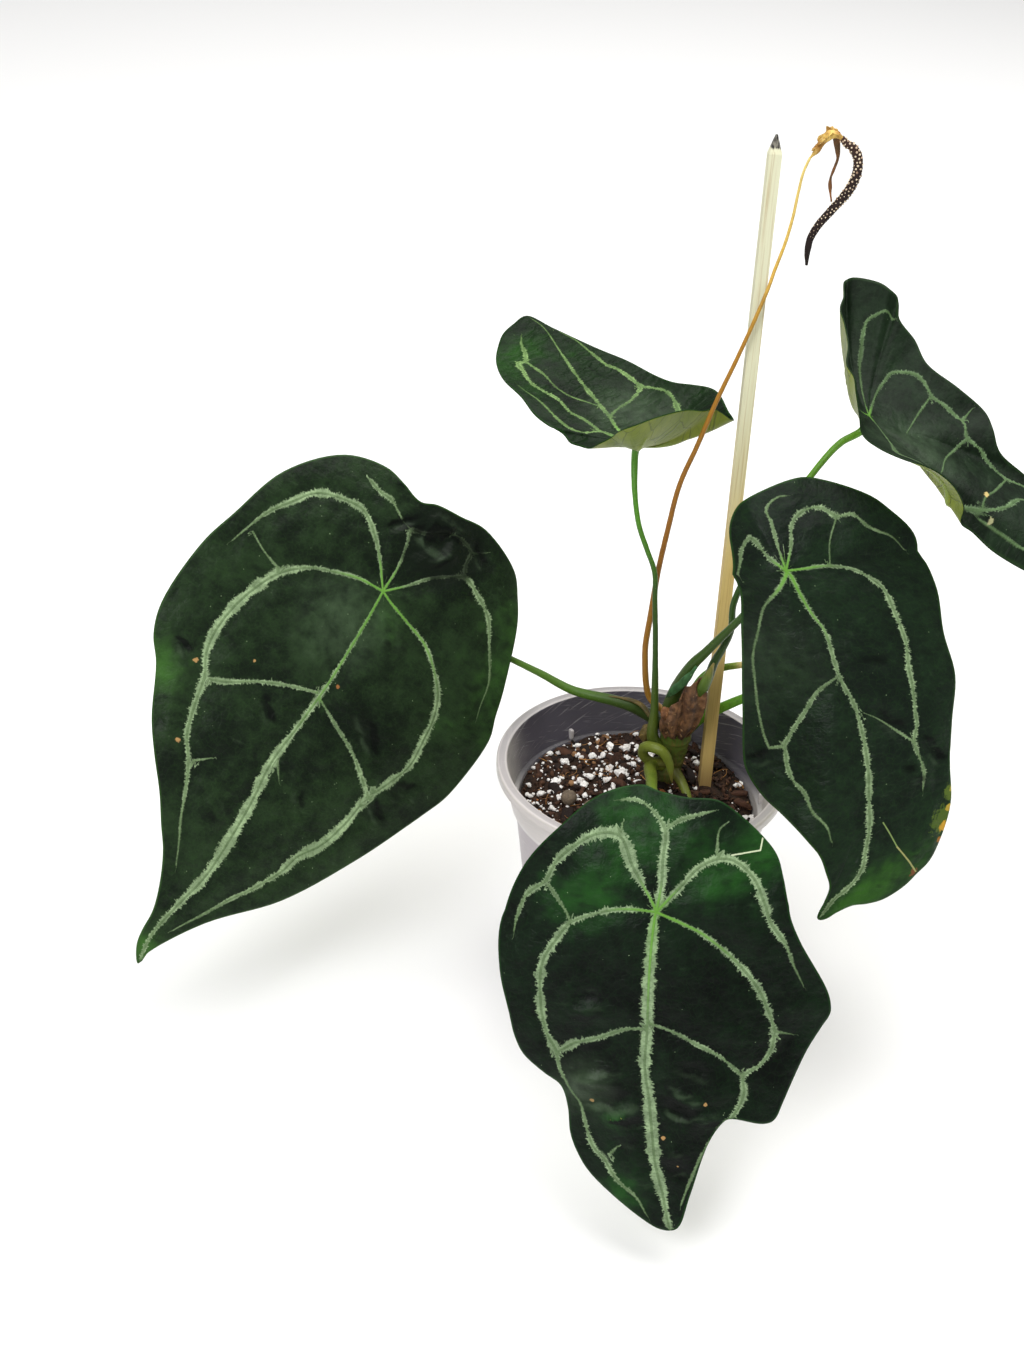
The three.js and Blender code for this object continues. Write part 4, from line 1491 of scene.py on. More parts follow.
@dataclass(frozen=True)
class Pot:
    """The nursery pot: lip, collar, stacking ledge, tapered body, ribs and drain holes."""

    rim: float = 60.0
    height: float = 105.0
    wall: float = 1.3
    base: float = 40.0
    ledge: float = 86.0
    body_top: float = 51.3
    collar: float = 52.0
    mouth: float = 55.5
    lip_drop: float = 4.0
    holes: int = 8
    hole_radius: float = 3.5
    hole_circle: float = 31.0
    ribs: int = 6
    rib_size: Point = (2.4, 1.6, 5.4)
    first_rib: float = 2.15
    segments: int = 200
    # Each finish's far colour is painted shade on the back of the pot.
    outside: FrostedPlastic = FrostedPlastic("pot_outside", tint(196, 190, 190), tint(214, 207, 205),
        tint(182, 173, 178), 0.9, scuffed=0.1, ringed=0.07)
    inside: FrostedPlastic = FrostedPlastic("pot_inside", tint(70, 66, 76), tint(206, 200, 194),
        tint(190, 184, 180), 0.95, 0.9, 0.2)

    def profile(self) -> list[Flat]:
        """The pot's section.

        Returns:
            Radius and height, from the middle of its underside round to the middle of its floor.
        """
        inner = self.body_top - self.wall
        lip_under = self.height - self.lip_drop
        return [
            (0, 0), (self.base - 2.4, 0), (self.base - 1.0, 0.35), (self.base - 0.2, 1.4),
            (self.body_top, self.ledge - 2.2), (self.body_top + 0.3, self.ledge - 1.6),
            (self.collar + self.wall - 0.3, self.ledge - 1.2), (self.collar + self.wall, self.ledge - 0.5),
            (self.mouth + self.wall - 0.6, self.height - 2.4), (self.mouth + self.wall, self.height - 1.9),
            (self.rim - self.wall - 0.4, self.height - 1.8), (self.rim - self.wall, self.height - 2.2),
            (self.rim - self.wall, lip_under + 0.2), (self.rim - self.wall + 0.3, lip_under),
            (self.rim - 0.3, lip_under), (self.rim, lip_under + 0.3), (self.rim, self.height - 0.9),
            (self.rim - 0.3, self.height - 0.3), (self.rim - 0.9, self.height),
            (self.mouth + 0.9, self.height), (self.mouth + 0.3, self.height - 0.3),
            (self.mouth, self.height - 0.9), (self.collar + 0.1, self.ledge + 1.0),
            (self.collar - 0.3, self.ledge + 0.35), (inner + 0.5, self.ledge + 0.1),
            (inner + 0.1, self.ledge - 0.5), (inner - 0.1, self.ledge - 1.4),
            (self.base - self.wall, self.wall + 0.9), (self.base - self.wall - 0.9, self.wall),
            (0, self.wall),
        ]

    def build(self) -> None:
        """Makes the pot with its drain holes cut through, and its ribs."""
        shell = lathe(self.profile(), self.segments)
        kinds = []
        for face in shell.faces:
            corners = shell.points[list(face)]
            middle = corners.mean(axis=0)
            normal = np.cross(corners[1] - corners[0], corners[2] - corners[0])
            inward = normal @ np.array([middle[0], middle[1], 0.0]) < 0
            kinds.append(1 if (inward or normal[2] > 0) and middle[2] < self.height - 0.4 else 0)
        shell.finishes = kinds
        pot = shell.piece("pot_shell", (self.outside, self.inside), "pot_plastic", ("pot",))
        drills = []
        for i in range(self.holes):
            angle = TURN * (i + 0.5) / self.holes
            drill = lathe([(0, -3), (self.hole_radius, -3), (self.hole_radius, 4), (0, 4)], 40)
            drill.points += np.array([math.cos(angle), math.sin(angle), 0]) * self.hole_circle
            drills.append(drill)
        self.cut(pot, Shell.joined(drills))
        ribs = [self.rib(self.first_rib + TURN * i / self.ribs) for i in range(self.ribs)]
        Shell.joined(ribs).piece("pot_ribs", (self.outside,), "pot_plastic")

    def rib(self, angle: float) -> Shell:
        """One small upright rib inside the collar, rounded along its edges.

        Args:
            angle: Where it stands round the pot.

        Returns:
            The rib's shell.
        """
        points, faces = ball(3)
        points = np.sign(points) * np.abs(points) ** 0.3 * np.array(self.rib_size) / 2
        points += np.array([self.collar - 0.2, 0, self.ledge + 2.4])
        turn = np.array(Matrix.Rotation(angle, 3, "Z"))
        return Shell(points @ turn.T, faces)

    @staticmethod
    def cut(target: bpy.types.Object, drills: Shell) -> None:
        """Cuts drills out of a piece and keeps the result as its mesh.

        Args:
            target: The piece.
            drills: The drills.
        """
        mesh = bpy.data.meshes.new("drills")
        mesh.from_pydata((drills.points * MM).tolist(), [], drills.faces)
        tool = bpy.data.objects.new("drills", mesh)
        bpy.context.scene.collection.objects.link(tool)
        modifier = target.modifiers.new("holes", "BOOLEAN")
        modifier.object = tool
        modifier.operation = "DIFFERENCE"
        modifier.solver = "EXACT"
        bpy.context.view_layer.update()
        solved = target.evaluated_get(bpy.context.evaluated_depsgraph_get())
        result = bpy.data.meshes.new_from_object(solved)
        target.modifiers.clear()
        target.data = result
        bpy.data.objects.remove(tool)


@dataclass(frozen=True)
class Stake:
    """The square stick. Its solid stays, with softened edges and sawn wood."""

    node: str = "stake"
    weld: float = 0.01
    bevel: float = 0.35
    wood: SawnWood = SawnWood("stake_sawn_wood")

    def build(self) -> None:
        """Softens the stick's edges and dresses it."""
        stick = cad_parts[self.node]
        stick.modifiers.new("weld", "WELD").merge_threshold = self.weld * MM
        soft = stick.modifiers.new("soft_edges", "BEVEL")
        soft.width = self.bevel * MM
        soft.segments = 2
        soft.limit_method = "ANGLE"
        stick.data.materials.clear()
        stick.data.materials.append(self.wood.material())
        LOG.info("%s: dressed", self.node)


@dataclass(frozen=True)
class Crown:
    """The short stem with its aerial roots, withered sheath and young green sheath."""

    stem_route: tuple[Point, ...] = ((9, 13, 74), (10, 13, 86), (13, 13, 98), (14, 12, 110),
        (13, 11, 120), (13, 11, 127))
    stem_radii: tuple[float, ...] = (6, 6, 5.2, 5.5, 6.5, 4)
    hook_route: tuple[Point, ...] = ((11, 10, 99), (5, 7, 101), (1, 6, 105), (1, 5, 109.5), (4, 2, 112),
        (8, 0, 111.5), (11.2, -0.5, 106.5), (13.4, -1, 97))
    hook_radii: tuple[float, ...] = (2.2, 2.1, 2.1, 2.3, 2.3, 2, 1.5, 0.3)
    root_route: tuple[Point, ...] = ((14, 10, 97), (18, 5, 93), (21, -1, 88), (22, -4, 79))
    root_radii: tuple[float, ...] = (2.4, 2, 1.8, 1.2)
    young_route: tuple[Point, ...] = ((20.8, 3.2, 137), (22, 0.5, 144), (24.9, 0, 155.5))
    skin: StemSkin = StemSkin("crown_green", ((0.0, tint(84, 72, 38)), (0.35, tint(76, 86, 34)),
        (0.7, tint(84, 104, 38)), (1.0, tint(70, 98, 38))), streak=tint(112, 84, 46), roughness=0.5,
        strength=0.55)
    root_skin: StemSkin = StemSkin("aerial_root", ((0.0, tint(84, 80, 34)), (0.45, tint(104, 116, 40)),
        (0.85, tint(116, 128, 46)), (1.0, tint(118, 98, 52))), streak=tint(108, 112, 48), seed=2.0)
    young_skin: StemSkin = StemSkin("young_sheath_green", ((0.0, tint(58, 84, 30)),
        (0.6, tint(92, 116, 44)), (1.0, tint(150, 132, 76))), seed=3.0)
    papery: DryPaper = DryPaper("cataphyll_brown", tint(136, 96, 64), tint(60, 38, 26), tint(194, 152, 108))
    tan: DryPaper = DryPaper("cataphyll_tan", tint(150, 100, 60), tint(88, 54, 32), tint(196, 146, 96), 3.0)
    olive: DryPaper = DryPaper("sheath_olive", tint(112, 92, 44), tint(70, 62, 28), tint(150, 124, 66), 6.0)
    teal: DryPaper = DryPaper("sheath_green_edge", tint(62, 110, 62), tint(36, 70, 34),
        tint(108, 158, 104), 8.0)
    young_radii: tuple[float, ...] = (1.3, 2.4, 2, 0.3)
    wing_radii: tuple[float, ...] = (0.15, 0.9, 1.5, 1.7)
    edge_radii: tuple[float, ...] = (0.4, 1.6, 2.1, 2.0, 1.4, 0.3)
    axis: Flat = (12.5, 12.3)
    wing_route: tuple[Point, ...] = ((-15, 19.8, 124.4), (-8, 19.2, 124), (-1, 18, 122), (3, 15.5, 118.5))
    edge_route: tuple[Point, ...] = ((7.8, 3.2, 136), (9.6, 1, 140), (12, 0, 144), (14.2, -0.8, 147),
        (16.2, -1, 150.5), (18, -0.8, 154))
    lump: Point = (8.2, 1.8, 129)
    lump_size: Point = (2.3, 1.3, 3.0)
    husk: Point = (1.6, 12.5, 112)
    husk_size: Point = (2.6, 2.4, 4.2)

    def sheath(self, down: np.ndarray, across: np.ndarray) -> np.ndarray:
        """The withered sheath's surface, cupped in front of the stem and crumpled.

        Args:
            down: Shares of the way up the sheath.
            across: Shares of the way across it.

        Returns:
            The points.
        """
        side = 2 * across - 1
        width = 8.8 * np.sin(math.pi * (0.14 + 0.66 * down)) ** 0.8
        x = 13.6 + side * width + 2.6 * down
        y = 4.1 - 3.8 * np.sin(math.pi * np.minimum(down * 0.7, 0.5)) + 2.4 * side * side * (1 - 0.5 * down)
        z = 116 + 34 * down * (0.58 + 0.46 * across) - 2.5 * side * side
        z += 0.7 * np.sin(9 * across + 4 * down)
        points = np.column_stack([x, y + 0.8 * np.sin(15 * across + 2.5 * down), z])
        folds = 1.3 * waves(points * np.array([1.0, 1.0, 0.2]), 2.6) + 0.3 * waves(points, 1.2, 4.0)
        points[:, 1] += folds
        points[:, 2] += 0.5 * waves(points, 1.6, 9.0) * (np.abs(side) + (down < 0.08) + (down > 0.92))
        return points

    @staticmethod
    def bud(at: Point, size: Point, seed: float) -> Shell:
        """A small crumpled lump of dry sheath.

        Args:
            at: Its centre.
            size: Its half sizes along x, y and z.
            seed: Changes its creases.

        Returns:
            The lump's shell.
        """
        points, faces = ball(3)
        rough = lumps(points, seed, (0.3, 6.0), (0.16, 2.6))
        return Shell(points * rough * np.array(size) + np.array(at), faces)

    def build(self) -> None:
        """Makes the stem, its roots and its sheaths."""
        stem = tube(self.stem_route, self.stem_radii, 40, 0.6, 0.45)
        height = stem.points[:, 2]
        swell = 0.35 * np.maximum(np.sin(height * 1.15 + 0.5 * waves(stem.points, 9.0)), 0) ** 3
        out = unit(np.column_stack([stem.points[:, :2] - np.array(self.axis), np.zeros(len(height))]))
        stem.points = stem.points + out * swell[:, None]
        stem.piece("crown_stem", (self.skin,), "crown_skin", ("crown",))
        roots = Shell.joined([tube(self.hook_route, self.hook_radii, 24, 0.6, 0.12),
                              tube(self.root_route, self.root_radii, 20, 0.6, 0.16)])
        roots.piece("crown_aerial_roots", (self.root_skin,), "crown_skin")
        sheet(self.sheath, 60, 50, 0.45).piece(
            "crown_cataphyll", (self.papery,), "dry_sheath", ("crown_sheath",))
        self.bud(self.lump, self.lump_size, 4.0).piece("crown_sheath_lump", (self.tan,), "dry_sheath")
        self.bud(self.husk, self.husk_size, 7.0).piece("crown_husk", (self.olive,), "dry_sheath")
        tube(self.wing_route, self.wing_radii, 14, 0.5, 0.3, flatten=0.6).piece(
            "petiole_left_sheath", (self.olive,), "dry_sheath")
        tube(self.edge_route, self.edge_radii, 16, 0.4, 0.5, flatten=0.45).piece(
            "petiole_right_sheath", (self.teal,), "petiole_skin")
        tube(self.young_route, self.young_radii, 20, 0.6, 0.06, flatten=0.7).piece(
            "young_sheath_leaf", (self.young_skin,), "petiole_skin", ("young_sheath",))


@dataclass(frozen=True)
class Flower:
    """The withered flower: dried spathe with its shred, and the dark beaded spadix."""

    spathe_route: tuple[Point, ...] = ((45.3, 60, 343.8), (47.5, 60, 347.3), (49.9, 60, 351.3),
        (52.2, 60, 353), (54.6, 60, 353), (56.2, 60, 352))
    shred_route: tuple[Point, ...] = ((54, 60, 354), (54.6, 61.6, 350.6), (56, 62, 344),
        (54.9, 61.4, 339), (54.2, 61, 336), (54.4, 61, 332), (55.7, 61, 327))
    spadix_route: tuple[Point, ...] = ((56.2, 60, 352.3), (57.8, 60, 350.2), (60.4, 60, 348.9),
        (62.9, 60, 345.5), (63.6, 60, 342.1), (63.5, 60, 338.1), (62, 60, 333.1), (58.7, 60, 327.8),
        (55.2, 60, 322.9), (51.3, 60, 317.1), (49.4, 60, 312.4), (48.9, 60, 308.6), (49.2, 60, 301.7))
    spadix_radii: tuple[float, ...] = (1, 1.8, 1.8, 1.8, 1.7, 1.6, 1.5, 1.3, 0.6)
    spathe_radii: tuple[float, ...] = (0.6, 1.0, 1.4, 1.5, 1.5, 1.3)
    shred_radii: tuple[float, ...] = (1.5, 1.2, 0.6, 0.5, 0.7, 0.35)
    bead_rings: int = 44
    beads_round: int = 6
    straw: DryPaper = DryPaper("spathe_straw", tint(234, 200, 108), tint(160, 112, 44), tint(248, 230, 172))
    olive: DryPaper = DryPaper("spathe_shred", tint(148, 92, 44), tint(84, 58, 28), tint(190, 150, 80), 4.0)
    dark: StemSkin = StemSkin("spadix_dark", ((0.0, tint(64, 38, 28)), (0.3, tint(40, 23, 18)),
        (1.0, tint(26, 15, 13))), streak=tint(26, 16, 16), dot=tint(120, 88, 70), roughness=0.65)
    cream: Grit = Grit("spadix_beads", tint(240, 224, 194), tint(150, 108, 84), 0.8, relief=0.1)

    def flap(self, turn: float, reach: float) -> Shell:
        """One crumpled flap of the spathe.

        Args:
            turn: The way it stands out from the stalk.
            reach: How far it stands out.

        Returns:
            The flap's shell.
        """
        def at(down: np.ndarray, across: np.ndarray) -> np.ndarray:
            """The flap's surface at shares of its length and of its width."""
            ruffle = 0.6 * np.sin(19 * down + 7 * across)
            spread = reach * np.sin(math.pi * (0.1 + 0.85 * down)) * across
            middle = 346.2 + 6.6 * np.sin(math.pi * 0.62 * down)
            points = np.column_stack([46.5 + 9 * down + ruffle, 60 + spread * math.cos(turn) + 0.6 * ruffle,
                                      middle + spread * math.sin(turn)])
            return points + 0.9 * np.column_stack([waves(points, 1.7, seed) for seed in (1.0, 2.0, 3.0)])

        return sheet(at, 40, 16, 0.35)

    def beads(self) -> Shell:
        """Pale beads in close spirals over the spadix.

        Returns:
            The beads as one shell.
        """
        path = evenly(smooth_path(self.spadix_route, SPAN_STEPS), self.bead_rings)
        widths = spread(self.spadix_radii, np.linspace(0, 1, len(path)))
        ahead = unit(np.gradient(path, axis=0))
        points, faces = ball(1)
        made = []
        guide = np.array([0.0, 1.0, 0.0])
        for i in range(1, int(0.8 * len(path))):
            guide = unit(guide - ahead[i] * (guide @ ahead[i]))
            other = np.cross(ahead[i], guide)
            fade = min(1.0, 1.7 - 1.7 * i / len(path))
            for j in range(self.beads_round):
                angle = TURN * (j + 0.5 * i) / self.beads_round + 0.22 * math.sin(i * 7.1 + j * 3.3)
                spot = path[i] + widths[i] * (math.cos(angle) * guide + math.sin(angle) * other)
                size = fade * (0.2 + 0.27 * abs(math.sin(i * 12.9 + j * 4.3)))
                tone = np.full(len(points), 0.35 + 0.5 * abs(math.sin(i * 3.7 + j * 5.1)))
                made.append(Shell(points * size + spot, faces, {"tone": tone}))
        return Shell.joined(made)

    def build(self) -> None:
        """Makes the spathe, its shred, the spadix and its beads."""
        core = tube(self.spathe_route, self.spathe_radii, 20, 0.4, 0.9)
        Shell.joined([core, self.flap(0.9, 4.2), self.flap(2.6, 3.6)]).piece(
            "spathe_withered", (self.straw,), "dry_spathe", ("spathe",))
        shred = tube(self.shred_route, self.shred_radii, 14, 0.5, 0.35, flatten=0.5)
        shred.piece("spathe_shred", (self.olive,), "dry_spathe")
        tube(self.spadix_route, self.spadix_radii, 24, 0.5, 0.12).piece(
            "spadix_core", (self.dark,), "spadix", ("spadix",))
        self.beads().piece("spadix_beads", (self.cream,), "spadix")


@dataclass(frozen=True)
class Lamp:
    """A soft square light: its place, the length of its side, its power in watts and its colour."""

    name: str
    at: Point
    size: float
    power: float
    colour: Colour


@dataclass(frozen=True)
class Studio:
    """Camera, lights and floor."""

    eye: Point = (-55.4, -701.7, 583.2)
    pitch: float = 32.23
    roll: float = 3.3
    focal: float = 2050.0
    picture: tuple[int, int] = (1024, 1365)
    sensor: float = 36.0
    floor: Floor = Floor("floor_pale")
    floor_half: float = 6000.0
    ambient: float = 0.34
    near: float = 0.02
    far: float = 40.0
    aim: Point = (0.0, 0.0, 160.0)
    lamps: tuple[Lamp, ...] = (Lamp("overhead_light", (250, 350, 1900), 2200, 52.0, (1.0, 0.99, 0.97)),
        Lamp("front_light", (-900, -1500, 1700), 900, 26.0, (0.98, 0.99, 1.0)))

    def build(self) -> None:
        """Makes the floor, the lights and the camera, and sets how the picture is developed."""
        self.camera()
        half = self.floor_half * MM
        corners = [(-half, -half, 0), (half, -half, 0), (half, half, 0), (-half, half, 0)]
        mesh = bpy.data.meshes.new("floor")
        mesh.from_pydata(corners, [], [(0, 1, 2, 3)])
        mesh.materials.append(self.floor.material())
        ground = bpy.data.objects.new("floor", mesh)
        bpy.context.scene.collection.objects.link(ground)
        for lamp in self.lamps:
            self.shine(lamp)
        world = bpy.data.worlds.new("studio")
        world.use_nodes = True
        background = world.node_tree.nodes["Background"]
        background.inputs["Color"].default_value = (1.0, 1.0, 1.0, 1.0)
        background.inputs["Strength"].default_value = self.ambient
        bpy.context.scene.world = world
        bpy.context.scene.view_settings.view_transform = "Standard"

    def camera(self) -> None:
        """Makes the camera where the photograph was taken from."""
        pitch = math.radians(self.pitch)
        roll = math.radians(self.roll)
        right = Vector((1, 0, 0))
        ahead = Vector((0, math.cos(pitch), -math.sin(pitch)))
        up = Vector((0, math.sin(pitch), math.cos(pitch)))
        x = math.cos(roll) * right + math.sin(roll) * up
        y = -math.sin(roll) * right + math.cos(roll) * up
        data = bpy.data.cameras.new("camera")
        data.sensor_width = self.sensor
        data.lens = self.focal * self.sensor / max(self.picture)
        data.clip_start = self.near
        data.clip_end = self.far
        camera = bpy.data.objects.new("camera", data)
        turned = Matrix((x, y, -ahead)).transposed().to_4x4()
        camera.matrix_world = Matrix.Translation(Vector(self.eye) * MM) @ turned
        bpy.context.scene.collection.objects.link(camera)
        bpy.context.scene.camera = camera

    def shine(self, lamp: Lamp) -> None:
        """Adds a lamp that points at the plant.

        Args:
            lamp: The lamp.
        """
        data = bpy.data.lights.new(lamp.name, "AREA")
        data.energy = lamp.power
        data.size = lamp.size * MM
        data.color = lamp.colour
        light = bpy.data.objects.new(lamp.name, data)
        light.location = Vector(lamp.at) * MM
        way = Vector(self.aim) * MM - light.location
        light.rotation_euler = way.to_track_quat("-Z", "Y").to_euler()
        bpy.context.scene.collection.objects.link(light)


TAN = tint(168, 132, 84)
SCRATCH = tint(196, 205, 170)
UNDER = LeafUnder("leaf_underside")


def folds(*rows: tuple[float, float, float, float, float, float]) -> tuple[Crease, ...]:
    """Creases from rows of their two ends, half their width, and their height."""
    return tuple(Crease((a, b), (c, d), half, height) for a, b, c, d, half, height in rows)


def areas(*rows: tuple[float, float, float, float]) -> tuple[Tone, ...]:
    """Tones from rows of their centre, reach and amount."""
    return tuple(Tone((a, b), reach, amount) for a, b, reach, amount in rows)


LEFT = Leaf(
    "left", (-109, 10, 174), (-0.47, -0.56, -0.68), (0.38, -0.82, 0.42), 176, 0,
    (
        (-38, -41, -8), (-18, -59, -6), (7, -67, -5), (23, -71, -6), (51, -71, -10), (63, -67, -10),
        (72, -60, -10), (91, -50, -9), (102, -42, -8), (114, -32, -7), (125, -24, -7), (133, -18, -7),
        (144, -12, -8), (155, -8, -9), (164, -7, -10), (171, -5, -11), (176, -1, -11), (170, 0, -10),
        (149, 13, -8), (126, 35, -7), (94, 55, -8), (65, 70, -11), (53, 75, -12), (26, 77, -10),
        (16, 73, -8), (5, 69, -6), (-20, 59, -5), (-30, 53, -6), (-39, 46, -8), (-46, 26, -8),
        (-44, 13, -5), (-42, 1, -3), (-39, -6, -2), (-41, -15, -3), (-43, -24, -5),
    ),
    (
        Vein(((0, 0), (21, 1), (47, 1), (65, 0), (82, -1), (99, 1), (116, 2), (133, 2), (149, -1),
            (164, -3), (175, -1)), (0.5, 0.8, 1.1, 1.5, 1.9, 2.4, 2.7, 2.7, 2.1, 1.3, 0.7), 75),
        Vein(((0, 0), (1, -11), (5, -23), (8, -30), (16, -39), (26, -44), (37, -47), (49, -48), (59, -46),
            (66, -42), (78, -39), (90, -35), (98, -29), (110, -23), (119, -19), (128, -14), (136, -10)),
            (0.6, 0.9, 1.1, 1.3, 2.1, 2.6, 2.5, 2.0, 1.7, 1.7, 1.6, 1.3, 1.0, 0.7, 0.4, 0.2), 25),
        Vein(((98, -29), (92, -22)), (0.8, 0.2)),
        Vein(((67, -41), (64, -34), (57, -23), (52, -12), (48, 0)), (1.3, 1.1, 1.0, 0.8)),
        Vein(((0, 0), (2, 5), (5, 16), (8, 27), (14, 36), (23, 45), (32, 49), (42, 50), (53, 51),
            (69, 44), (77, 41), (86, 40), (99, 36), (108, 30), (116, 28), (127, 22), (136, 16), (145, 11),
            (158, 3)),
            (0.5, 0.8, 1.0, 1.3, 1.7, 1.9, 2.0, 1.9, 1.7, 2.3, 2.5, 2.3, 1.7, 1.3, 0.8, 0.5, 0.3), 55),
        Vein(((50, 2), (56, 15), (61, 26), (68, 36), (73, 43)), (0.6, 0.9, 1.1, 1.6)),
        Vein(((80, 1), (86, 6)), (0.7, 0.1)),
        Vein(((0, 0), (-10, -8), (-17, -15), (-23, -24), (-22, -34), (-18, -44), (-10, -50), (-1, -56),
            (10, -60), (17, -62)), (0.5, 0.8, 1.0, 1.3, 1.6, 1.9, 1.4, 1.0, 0.5, 0.2), 18),
        Vein(((9, -57), (13, -49), (16, -39)), (0.4, 0.4, 0.7)),
        Vein(((0, 0), (-12, 0), (-22, -2), (-27, -3), (-30, 4), (-35, 11), (-36, 20), (-34, 25),
            (-29, 25), (-24, 27)), (0.5, 0.6, 0.7, 0.9, 1.3, 1.3, 1.2, 1.5, 1.3, 1.0), 15),
        Vein(((-34, 25), (-38, 31)), (0.8, 0.1)),
        Vein(((0, 0), (-8, 8), (-15, 14), (-21, 22), (-24, 28), (-21, 36), (-16, 45), (-10, 50), (-3, 55),
            (6, 61), (16, 64), (21, 66)), (0.5, 0.6, 0.7, 0.8, 1.3, 1.5, 1.4, 1.2, 0.8, 0.5, 0.3, 0.1),
            12),
        Vein(((-35, -28), (-33, -22), (-33, -17), (-29, -9), (-27, -3)), (0.7, 1.4, 1.0, 0.4, 0.2)),
    ),
    LeafTop("leaf_left_top", tint(16, 25, 16), tint(35, 52, 30), tint(58, 98, 40), seed=1.0,
            marks=(Mark((63, -48), 1.1, TAN), Mark((93, -37), 1.1, TAN),
                Mark((42, 5), 0.9, tint(140, 92, 52)), Mark((51, -29), 0.7, TAN)),
            creases=folds((60, -62, 62, -50, 3.0, -1.4), (60, -20, 70, -10, 3.0, -1.2),
                (45, 18, 58, 36, 3.6, -1.4), (-26, -3, -30, 16, 5.0, -1.6), (72, 44, 80, 56, 3.0, -1.4),
                (88, -45, 92, -50, 2.5, -1.0), (-36, 0, -38, 22, 3.5, 1.3), (-40, 22, -30, 34, 3.0, -1.2),
                (4, 6, 22, 20, 4.0, 0.9), (16, -14, 34, -24, 4.5, 0.8), (84, 14, 96, 22, 3.2, -1.0),
                (64, 50, 58, 62, 2.6, -0.9), (104, -14, 112, -6, 3.0, 0.8),
                (-20, -14, -34, -2, 2.2, -1.2), (-24, 6, -38, 2, 2.0, 1.0), (-28, 12, -40, 14, 2.0, -1.2),
                (-18, 10, -30, 20, 2.2, 1.0), (-40, -20, -46, -4, 2.5, 1.0))),
    UNDER,
    tones=areas((-30, 8, 22, -0.7), (-10, 62, 26, 0.6), (70, -60, 20, 0.4), (30, -56, 18, 0.25),
        (-34, -30, 20, 0.3), (130, -12, 16, 0.25), (4, 8, 14, 0.3), (40, 68, 22, 0.15),
        (110, 40, 28, 0.3), (80, -55, 16, 0.3), (20, 25, 20, 0.1), (172, -2, 14, 0.6), (-30, 48, 14, 0.3),
        (26, -12, 20, 0.2), (20, 72, 16, 0.3), (-30, 20, 16, -0.6), (48, 22, 14, -0.3),
        (84, -20, 16, -0.25)),
)

